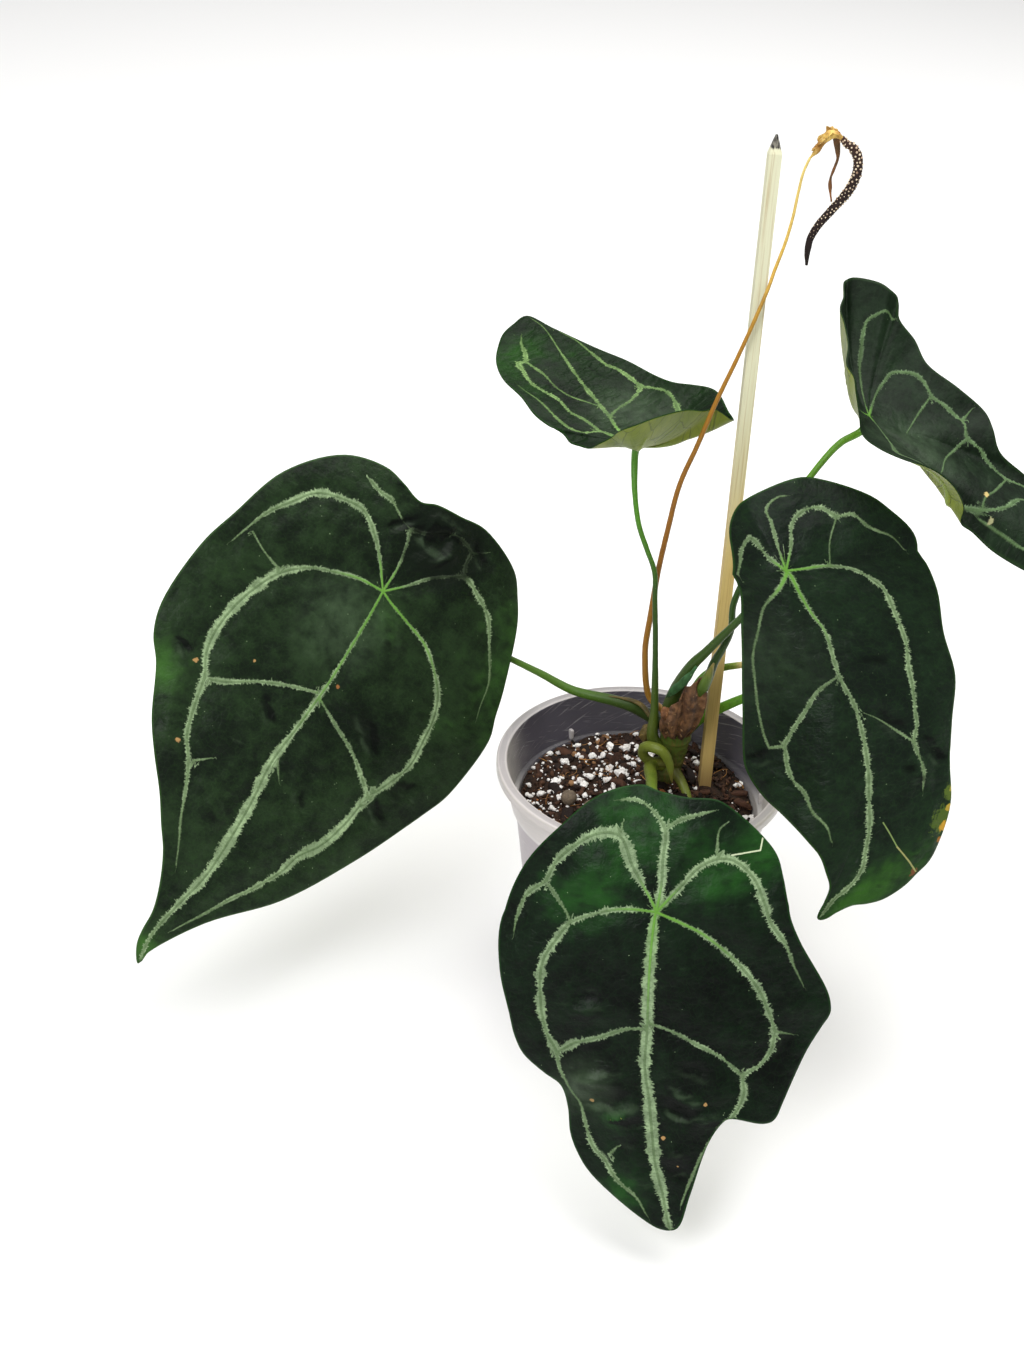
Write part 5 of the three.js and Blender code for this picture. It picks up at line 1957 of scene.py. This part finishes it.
FRONT = Leaf(
    "front", (0, -132, 132), (0.10, -0.40, -0.91), (-0.09, -0.92, 0.39), 120, -5,
    (
        (-44, -4, -10), (-41, -19, -8), (-31, -33, -4), (-16, -47, -7), (3, -55, -8), (22, -54, -6),
        (38, -50, -5), (47, -48, -6), (54, -45, -7), (61, -38, -7), (66, -32, -7), (74, -30, -7),
        (84, -30, -7), (92, -28, -7), (100, -24, -7), (115, -9, -4), (120, -2, -4), (119, 4, -3),
        (106, 11, -2), (86, 20, -1), (79, 25, -1), (77, 28, -1), (80, 40, -4), (79, 44, -5), (72, 48, -6),
        (64, 52, -8), (54, 57, -9), (46, 62, -10), (41, 65, -10), (37, 65, -10), (31, 63, -9),
        (12, 52, -4), (1, 47, -3), (-10, 45, -5), (-18, 43, -7), (-25, 38, -8), (-36, 27, -6),
        (-39, 22, -5), (-40, 12, -5), (-42, 2, -8),
    ),
    (
        Vein(((0, 0), (10, 0), (23, 0), (43, 0), (57, -1), (69, 0), (81, 0), (95, 0), (107, 1), (119, 1)),
            (1.6, 2.2, 2.4, 2.2, 2.2, 2.3, 2.5, 2.6, 2.1, 1.0), 46),
        Vein(((0, 0), (-1, -7), (-1, -15), (1, -23), (4, -30), (10, -34), (17, -38), (26, -39), (38, -38),
            (46, -36), (52, -33), (59, -32), (66, -29), (73, -25), (79, -24), (89, -22), (94, -18),
            (101, -15), (107, -9), (115, -6)), (1.1, 1.1, 1.1, 1.2, 1.5, 1.7, 1.8, 1.9, 1.7, 1.4, 1.5,
            0.9, 0.5, 0.5, 1.2, 1.3, 1.4, 1.0, 0.6, 0.2), 20),
        Vein(((93, -18), (88, -13)), (0.9, 0.3)),
        Vein(((53, -33), (49, -26), (46, -16), (43, -7), (43, 0)), (1.8, 1.5, 1.1, 0.9, 0.8)),
        Vein(((0, 0), (4, 9), (8, 17), (15, 26), (22, 33), (30, 39), (39, 43), (46, 45), (53, 44),
            (58, 40), (62, 34), (68, 34), (74, 31), (86, 20), (100, 12), (110, 7)),
            (0.7, 0.8, 1.0, 1.2, 1.5, 1.7, 1.7, 1.5, 1.3, 1.2, 1.4, 1.6, 1.0, 0.5, 0.5, 0.3), 42),
        Vein(((46, 45), (48, 52)), (0.8, 0.1)),
        Vein(((41, 1), (44, 9), (49, 18), (54, 26), (62, 34)), (0.6, 0.8, 0.9, 0.9, 0.9)),
        Vein(((0, 0), (-3, -1), (-9, -4), (-17, -8), (-27, -12), (-28, -20), (-24, -28), (-18, -35),
            (-11, -39), (-6, -46), (0, -49), (9, -50)),
            (1.2, 1.3, 1.8, 2.3, 2.3, 2.1, 2.0, 1.7, 1.3, 1.0, 0.7, 0.3), 15),
        Vein(((-27, -12), (-31, -11)), (1.2, 0.3)),
        Vein(((-11, -39), (-5, -35), (3, -30)), (1.0, 0.7, 0.8)),
        Vein(((0, 0), (-9, 2), (-19, 3), (-29, 4), (-36, -1), (-39, -6), (-39, -12)),
            (1.5, 2.2, 2.2, 2.0, 1.4, 1.1, 0.5), 12),
        Vein(((-29, 4), (-32, 9), (-34, 16), (-35, 21)), (1.6, 1.4, 1.0, 0.3)),
        Vein(((0, 0), (-9, 9), (-15, 15), (-18, 22), (-17, 28), (-10, 35), (-2, 38), (5, 41), (13, 47),
            (22, 51), (30, 55)), (1.0, 1.4, 1.6, 1.8, 1.7, 1.8, 1.6, 1.6, 1.0, 0.5, 0.1), 14),
        Vein(((-20, 22), (-28, 23), (-30, 25)), (0.9, 0.4, 0.3)),
    ),
    LeafTop("leaf_front_top", tint(7, 12, 8), tint(16, 31, 17), tint(33, 76, 27), seed=2.3, blotch=24.0,
            gloss=0.1, silver=tint(154, 178, 136), gloss_and_painted_sheen=(66, -24), gloss_and_painted_sheen_reach=16.0,
            marks=(Mark((71, -21), 0.8, TAN), Mark((71, 20), 0.8, TAN), Mark((84, 4), 0.9, TAN),
                Mark((95, 8), 0.5, TAN)),
            scars=(Scar((-19, 27), (-20, 37), 0.35, SCRATCH), Scar((-20, 37), (-24, 38), 0.35, SCRATCH)),
            creases=folds((64, -30, 62, -8, 3.5, 2.2), (72, -28, 69, -6, 3.0, -2.0),
                (80, -14, 78, -1, 2.4, -1.2), (76, -16, 74, -3, 3.0, 2.0), (72, 4, 76, 16, 2.6, -2.0),
                (67, 6, 72, 20, 3.2, 2.0), (78, 14, 76, 26, 2.5, 1.6), (50, -26, 46, -14, 3.0, 1.0),
                (36, -30, 38, -12, 2.6, 1.0), (56, 8, 62, 26, 3.0, -0.9), (46, 50, 60, 46, 3.0, -0.8),
                (90, 2, 92, 12, 2.5, 1.2), (97, 3, 97, 13, 2.4, -1.1), (88, -16, 86, -5, 2.6, -0.8),
                (30, -28, 32, -14, 3.0, -0.8), (30, 44, 34, 56, 3.0, -0.7), (6, 45, 14, 50, 3.0, -0.5))),
    UNDER,
    tones=areas((-30, 0, 22, 0.6), (-10, 28, 20, 0.5), (-5, -25, 20, 0.7), (-22, 40, 12, 0.4),
        (28, -45, 14, 0.15), (76, -14, 7, 0.6), (64, 8, 10, 0.1), (75, 38, 12, 0.1), (108, -14, 14, 0.6),
        (30, 22, 22, -0.2), (60, -20, 10, -0.3)),
)

RIGHT = Leaf(
    "right", (45, -25, 213), (0.18, -0.47, -0.86), (0.07, -0.87, 0.49), 135, 24,
    (
        (-34, 15, -9), (-34, 7, -8), (-29, -10, -8), (-26, -14, -11), (-19, -17, -14), (-1, -18, -14),
        (21, -31, -13), (46, -41, -17), (71, -45, -21), (78, -43, -20), (86, -38, -16), (92, -32, -12),
        (98, -26, -8), (104, -20, -6), (110, -14, -6), (117, -9, -7), (123, -5, -8), (129, -4, -9),
        (134, -3, -10), (135, 1, -10), (133, 3, -9), (131, 8, -9), (131, 14, -9), (130, 20, -9),
        (126, 26, -9), (122, 29, -9), (118, 32, -9), (111, 34, -10), (97, 35, -9), (81, 33, -8),
        (65, 35, -9), (48, 40, -9), (31, 42, -9), (12, 49, -8), (-6, 52, -5), (-19, 42, -4),
        (-25, 35, -5),
    ),
    (
        Vein(((0, 0), (8, -3), (17, -4), (24, -3), (36, -5), (45, -5), (52, -3), (61, -2), (71, -1),
            (81, 0), (91, 1), (101, 3), (110, 4), (118, 5), (123, 3), (128, -1), (133, -2)),
            (1.2, 1.2, 1.0, 1.0, 1.0, 1.1, 1.2, 1.3, 1.4, 1.4, 1.4, 1.4, 1.4, 1.3, 1.1, 0.9), 34),
        Vein(((0, 0), (7, -10), (13, -19), (22, -26), (31, -32), (41, -35), (52, -37), (61, -37),
            (67, -36)), (0.9, 0.8, 0.45, 0.4, 0.4, 0.45, 0.5, 0.5, 0.5), 20),
        Vein(((67, -36), (67, -31), (74, -30), (80, -28), (85, -24), (92, -21), (99, -14), (105, -11)),
            (0.5, 0.9, 0.9, 0.8, 0.7, 0.6, 0.4, 0.2)),
        Vein(((42, -6), (47, -15), (55, -22), (61, -27), (67, -31)), (0.4, 0.8, 0.8, 0.9, 1.0)),
        Vein(((0, 0), (0, 7), (0, 15), (2, 22), (5, 25), (11, 28), (18, 27), (26, 26), (33, 25), (43, 22),
            (51, 21), (59, 20), (64, 20), (70, 18), (75, 19), (81, 21), (90, 22)),
            (0.6, 0.8, 0.8, 1.0, 1.3, 1.5, 1.6, 1.5, 1.4, 1.3, 1.4, 1.2, 0.9, 1.2, 0.8, 0.9, 0.2), 20),
        Vein(((57, 0), (60, 5), (65, 11), (70, 17)), (0.1, 0.3, 0.6, 0.9)),
        Vein(((0, 0), (-9, 3), (-18, 5), (-22, 11), (-22, 17), (-18, 22), (-18, 28), (-13, 33), (-11, 36),
            (-8, 42), (-2, 47)), (0.6, 0.7, 0.8, 1.1, 1.1, 1.1, 1.1, 0.7, 0.6, 0.3, 0.1), 10),
        Vein(((-18, 22), (-9, 18), (0, 17)), (0.5, 0.3, 0.3)),
        Vein(((0, 0), (-10, -2), (-19, -3), (-24, -4), (-28, 1), (-28, 5)),
            (0.5, 0.6, 0.8, 0.7, 0.5, 0.2), 8),
        Vein(((0, 0), (-6, -6), (-14, -11), (-10, -14), (-5, -15), (1, -17)),
            (0.9, 1.1, 1.2, 0.9, 0.6, 0.3), 8),
    ),
    LeafTop("leaf_right_top", tint(17, 26, 19), tint(27, 44, 27), tint(52, 94, 32), seed=3.7, blotch=26.0,
            gloss_and_painted_sheen=(32, -26), gloss_and_painted_sheen_reach=30.0, painted_sheen_share=0.2,
            marks=(Mark((102, 33), 6.0, tint(72, 92, 34)), Mark((92, 34), 3.6, tint(80, 98, 38)),
                Mark((105, 34), 2.2, tint(190, 146, 48)), Mark((98, 34.5), 1.6, tint(170, 146, 56)),
                Mark((110, 33.6), 1.3, tint(150, 100, 40)), Mark((91, 34.5), 1.2, tint(160, 150, 66)),
                Mark((121, 27), 1.6, tint(112, 70, 44))),
            scars=(Scar((100, 8), (110, 16), 0.3, tint(120, 140, 84)),
                Scar((110, 16), (121, 28), 0.35, tint(150, 150, 96))),
            creases=folds((38, 2, 40, 16, 3.0, -0.6), (56, 2, 68, 16, 3.5, -1.0),
                (70, 20, 82, 32, 3.0, -1.3), (72, -44, 70, -34, 3.0, -1.2), (76, 14, 88, 26, 4.0, 1.0),
                (80, -41, 77, -33, 3.0, 0.8))),
    UNDER,
    tones=areas((122, 22, 20, 0.4), (130, 4, 14, 0.5), (100, 30, 12, 0.3), (30, 38, 14, 0.15),
        (55, -38, 12, 0.1), (40, 0, 24, -0.15), (-20, 10, 16, -0.1)),
)

TOP = Leaf(
    "top", (-11, 46, 228), (-0.48, 0.86, 0.15), (0.04, -0.15, 1), 100, 0,
    (
        (100, -1, 2), (89, -8, 1), (67, -19, 1), (55, -26, 1), (38, -30, 3), (27, -32, 6), (20, -37, 8),
        (15, -41, 9), (6, -40, 12), (-11, -34, 15), (-15, -34, 14), (-17, -31, 16), (-15, -24, 21),
        (-17, -17, 23), (-18, -8, 26), (-20, 7, 27), (-18, 14, 24), (-13, 17, 19), (-7, 17, 12),
        (-3, 20, 7), (2, 21, 2), (6, 23, 1), (12, 24, -1), (17, 24, -1), (22, 28, 1), (32, 30, 1),
        (44, 30, 2), (58, 31, 2), (75, 26, 0), (85, 20, 0), (91, 15, 1), (97, 7, 1),
    ),
    (
        Vein(((0, 0), (11, 2), (22, 1), (48, 0), (69, -2), (90, -4), (97, -2)),
            (0.7, 0.9, 1.0, 0.9, 0.7, 0.4, 0.2), 22),
        Vein(((0, 0), (12, 9), (22, 12), (29, 15), (39, 15), (47, 18), (54, 20), (64, 19), (70, 18),
            (70, 15), (76, 12), (81, 11), (87, 8)),
            (0.4, 0.5, 0.7, 0.9, 1.0, 1.1, 1.2, 1.3, 1.2, 1.3, 1.2, 0.8, 0.3), 14),
        Vein(((70, 15), (58, 12), (47, 11), (39, 8), (30, 2)), (0.8, 0.7, 0.6, 0.5, 0.4)),
        Vein(((0, 0), (13, 10), (14, 16), (17, 20), (23, 22), (30, 23), (40, 24), (48, 26), (53, 27)),
            (0.4, 0.6, 0.8, 0.8, 0.7, 0.6, 0.5, 0.4, 0.1), 12),
        Vein(((0, 0), (5, -13), (11, -25), (14, -26), (18, -27), (25, -27), (31, -25), (35, -22),
            (43, -21), (51, -19), (56, -16), (63, -15), (70, -14), (77, -13), (86, -9)),
            (0.4, 0.7, 1.1, 1.3, 1.2, 0.9, 0.9, 1.0, 1.1, 1.0, 0.9, 0.7, 0.5, 0.4, 0.2), 8),
        Vein(((35, -22), (31, -17), (28, -12), (25, -5), (21, 1)), (1.3, 1.1, 0.8, 0.6, 0.7)),
        Vein(((0, 0), (-8, 4), (-14, 6)), (0.6, 0.6, 0.3), 8),
        Vein(((0, 0), (-6, -12), (-8, -24)), (0.6, 0.8, 0.4), 8),
    ),
    LeafTop("leaf_top_top", tint(7, 20, 6), tint(19, 38, 15), tint(34, 74, 20), seed=5.1, gloss=0.08,
            blotch=16.0, silver=tint(146, 180, 112), dark=tint(8, 16, 8), feather=1.1, stripes=0.3,
            pucker=0.3,
            creases=folds((30, 8, 60, 10, 4.0, -0.6), (45, -14, 60, -10, 3.5, -0.7))),
    UNDER,
    tones=areas((60, -12, 30, 0.3), (80, 24, 22, 0.6), (40, 28, 18, 0.35), (20, -30, 16, 0.3),
        (40, 8, 12, -0.35)),
    quilt=0.5, ripple=0.25,
)

UPPER_RIGHT = Leaf(
    "upper_right", (75, 20, 257), (0.93, -0.20, -0.31), (0.30, -0.08, 0.95), 121, 0,
    (
        (-28, 55, 25), (-26, 55, 27), (-16, 54, 30), (-11, 52, 30), (-7, 53, 28), (-3, 46, 23),
        (6, 43, 19), (14, 36, 15), (29, 32, 13), (42, 29, 10), (47, 22, 8), (53, 16, 3), (65, 16, -1),
        (86, 14, -6), (108, 5, -10), (121, -8, -12), (112, -20, -13), (101, -26, -14), (87, -29, -16),
        (76, -28, -17), (70, -27, -17), (62, -26, -16), (53, -25, -13), (47, -26, -11), (44, -29, -3),
        (37, -32, 4), (29, -35, 8), (21, -39, 10), (15, -39, 9), (5, -35, 7), (-2, -28, 6), (-6, -28, 12),
        (-11, -26, 19), (-14, -24, 23), (-18, -19, 24), (-20, -6, 26), (-24, 9, 27), (-27, 20, 27),
        (-27, 36, 26),
    ),
    (
        Vein(((0, 2), (5, -4), (10, -15), (14, -30), (30, -27), (45, -19), (53, -18), (60, -13), (68, 1),
            (85, 2), (104, -3), (119, -8)), (0.3, 0.5, 0.9, 1.0, 0.8, 0.9, 1.1, 1.1, 1.1, 1.2, 0.9, 0.3)),
        Vein(((0, 2), (0, 17), (1, 23), (3, 29), (11, 31), (16, 29), (21, 25), (27, 24), (33, 22),
            (36, 20), (38, 15), (40, 14), (46, 13), (52, 11), (59, 9), (67, 11), (85, 10), (102, 4)),
            (0.5, 0.6, 0.7, 0.8, 0.9, 0.9, 0.9, 0.9, 0.9, 0.9, 0.9, 0.9, 0.9, 0.8, 0.8, 0.9, 0.7, 0.3),
            8),
        Vein(((35, 22), (37, 28)), (0.8, 0.1)),
        Vein(((20, 25), (18, 16), (16, 3)), (0.8, 0.4, 0.25)),
        Vein(((39, 14), (36, 8), (33, -3), (33, -11)), (0.9, 0.6, 0.45, 0.35)),
        Vein(((59, 8), (55, -6), (52, -13), (52, -18)), (0.8, 0.55, 0.5, 0.5)),
        Vein(((52, -20), (66, -23), (72, -24), (88, -22)), (0.2, 0.4, 0.5, 0.2)),
        Vein(((0, 2), (-6, 16), (-10, 26), (-12, 33), (-14, 39), (-14, 43), (-11, 45), (-7, 47),
            (-5, 46)), (0.2, 0.3, 0.4, 0.6, 0.8, 0.9, 0.9, 0.7, 0.3)),
        Vein(((0, 2), (-10, 0), (-16, 4)), (0.3, 0.3, 0.2)),
    ),
    LeafTop("leaf_upper_right_top", tint(13, 22, 13), tint(28, 43, 27), tint(40, 66, 31), seed=6.9,
            gloss=0.07, silver=tint(122, 148, 108), dark=tint(12, 19, 12), feather=1.0, stripes=0.06,
            pucker=0.1,
            marks=(Mark((52, -11), 1.4, tint(190, 170, 110)), Mark((57, -20), 1.2, tint(150, 150, 110)))),
    UNDER,
    tones=areas((10, 30, 26, 0.2), (-15, 40, 20, 0.2), (80, -15, 26, 0.3), (45, 0, 20, -0.1),
        (110, -15, 22, 0.3)),
    quilt=0.5, ripple=0.25,
)

LEAVES = (LEFT, FRONT, RIGHT, TOP, UPPER_RIGHT)


def green(name: str, foot: Colour, middle: Colour, tip: Colour, seed: float) -> StemSkin:
    """A petiole's skin, from its foot over its middle to its blade."""
    colours = ((0.0, foot), (0.12, foot), (0.3, middle), (0.55, middle), (0.78, tip))
    return StemSkin(name, colours, seed=seed)


STALKS = (
    petiole(LEFT, ((11, 15.5, 113), (3, 18.8, 116.5), (-5.5, 19.5, 120.5), (-13, 20.5, 122),
        (-30, 24, 123.7), (-43.5, 27, 129), (-55.5, 28.5, 134), (-69.5, 27, 142), (-82, 25, 150),
        (-95, 23, 158.5), (-105, 21.5, 165.5)), (3, 2.5, 1.9, 1.45, 1.15, 1.1, 1.2, 1.8),
        green("petiole_left_green", tint(44, 60, 18), tint(70, 106, 22), tint(96, 146, 34), 1.0)),
    petiole(FRONT, ((10, 11, 98), (5, 7, 100), (4, -10, 104), (3, -35, 113), (2, -62, 121), (1, -90, 127),
        (1, -112, 129)), (3, 2.3, 1.9, 1.7, 1.7, 2.1), green("petiole_front_green", tint(112, 124, 44),
        tint(112, 138, 46), tint(92, 150, 44), 2.0)),
    petiole(RIGHT, ((11, 9.5, 118), (10, 8.5, 128), (16, 4, 150), (21.5, 1, 160), (32, -4, 178),
        (40, -11, 195), (43.6, -15.5, 205)), (3.2, 3.0, 1.9, 1.5, 1.4, 1.9), green("petiole_right_green",
        tint(58, 74, 26), tint(56, 82, 28), tint(60, 104, 36), 3.0)),
    petiole(TOP, ((10, 12, 104), (4.6, 9.8, 111), (4.1, 12, 124.7), (2.1, 20, 154.6), (0.8, 24, 169),
        (-0.2, 28, 180), (-3.7, 31, 188), (-7.7, 35, 197), (-10.3, 40, 209)),
        (3.2, 1.7, 1.2, 1.1, 1.05, 1.1, 1.6), green("petiole_top_green", tint(78, 92, 30),
        tint(52, 80, 28), tint(84, 142, 42), 4.0)),
    petiole(UPPER_RIGHT, ((15.5, 11, 119), (18.6, 10, 130), (23, 7, 140), (25.7, 5, 153), (28.5, 4, 161),
        (30.6, 4, 169), (30.6, 5, 181), (40, 8, 206), (55, 12, 235), (65, 17, 247)),
        (3, 2.2, 1.5, 1.3, 1.2, 1.2, 1.3, 1.5), green("petiole_upper_right_green", tint(40, 58, 22),
        tint(46, 76, 26), tint(96, 146, 40), 5.0)),
    Stalk("petiole_stub_green", ((15, 14, 108), (24.5, 23, 113.7), (31, 24.6, 117.4), (40, 24.6, 123),
        (45, 24.5, 125.8)), (2.6, 2.2, 1.9), green("petiole_stub_green_skin", tint(84, 104, 34),
        tint(96, 150, 40), tint(96, 152, 42), 6.0)),
    Stalk("petiole_stub_dry", ((14, 14, 119), (20, 22, 127.5), (25, 27.5, 132.5), (31, 28, 136),
        (39.7, 27, 139)), (2, 1.7, 1.4), StemSkin("petiole_stub_dry_skin", ((0.0, tint(70, 92, 30)),
        (0.8, tint(84, 128, 38)), (0.93, tint(132, 150, 60)), (1.0, tint(206, 184, 126))), seed=7.0),
        "dry_sheath"),
    Stalk("flower_stalk", ((11, 13, 120), (7, 17.5, 121.5), (2.7, 20, 124), (0.7, 21, 129),
        (-0.8, 23, 139.6), (-1.2, 25, 147), (-0.2, 28, 158), (0.5, 30.5, 165), (1.6, 33.5, 177),
        (4, 35, 196), (7, 36, 216), (12.6, 36.5, 234), (18.5, 37, 254), (24, 39, 269),
        (29.2, 41.5, 283.7), (33.8, 45.5, 296.6), (36, 50, 302.5), (39.2, 54, 312), (41.3, 57, 321.5),
        (42.5, 59, 331.5), (43.5, 60, 338), (45.3, 60, 343.9)), (1.4, 1.2, 1, 0.75, 0.5),
        StemSkin("flower_stalk_skin", ((0.0, tint(148, 108, 38)), (0.35, tint(150, 98, 32)),
        (0.7, tint(172, 122, 38)), (0.85, tint(214, 176, 76)), (1.0, tint(238, 214, 130))),
        streak=tint(122, 74, 34), seed=8.0), "flower_stalk"),
)


def main() -> None:
    """Builds the studio and the plant."""
    logging.basicConfig(level=logging.INFO, format="%(name)s: %(message)s")
    Studio().build()
    Pot().build()
    PottingMix().build()
    Stake().build()
    Crown().build()
    for stalk in STALKS:
        stalk.build()
    for leaf in LEAVES:
        leaf.build()
    Flower().build()


if __name__ == "__main__":
    main()
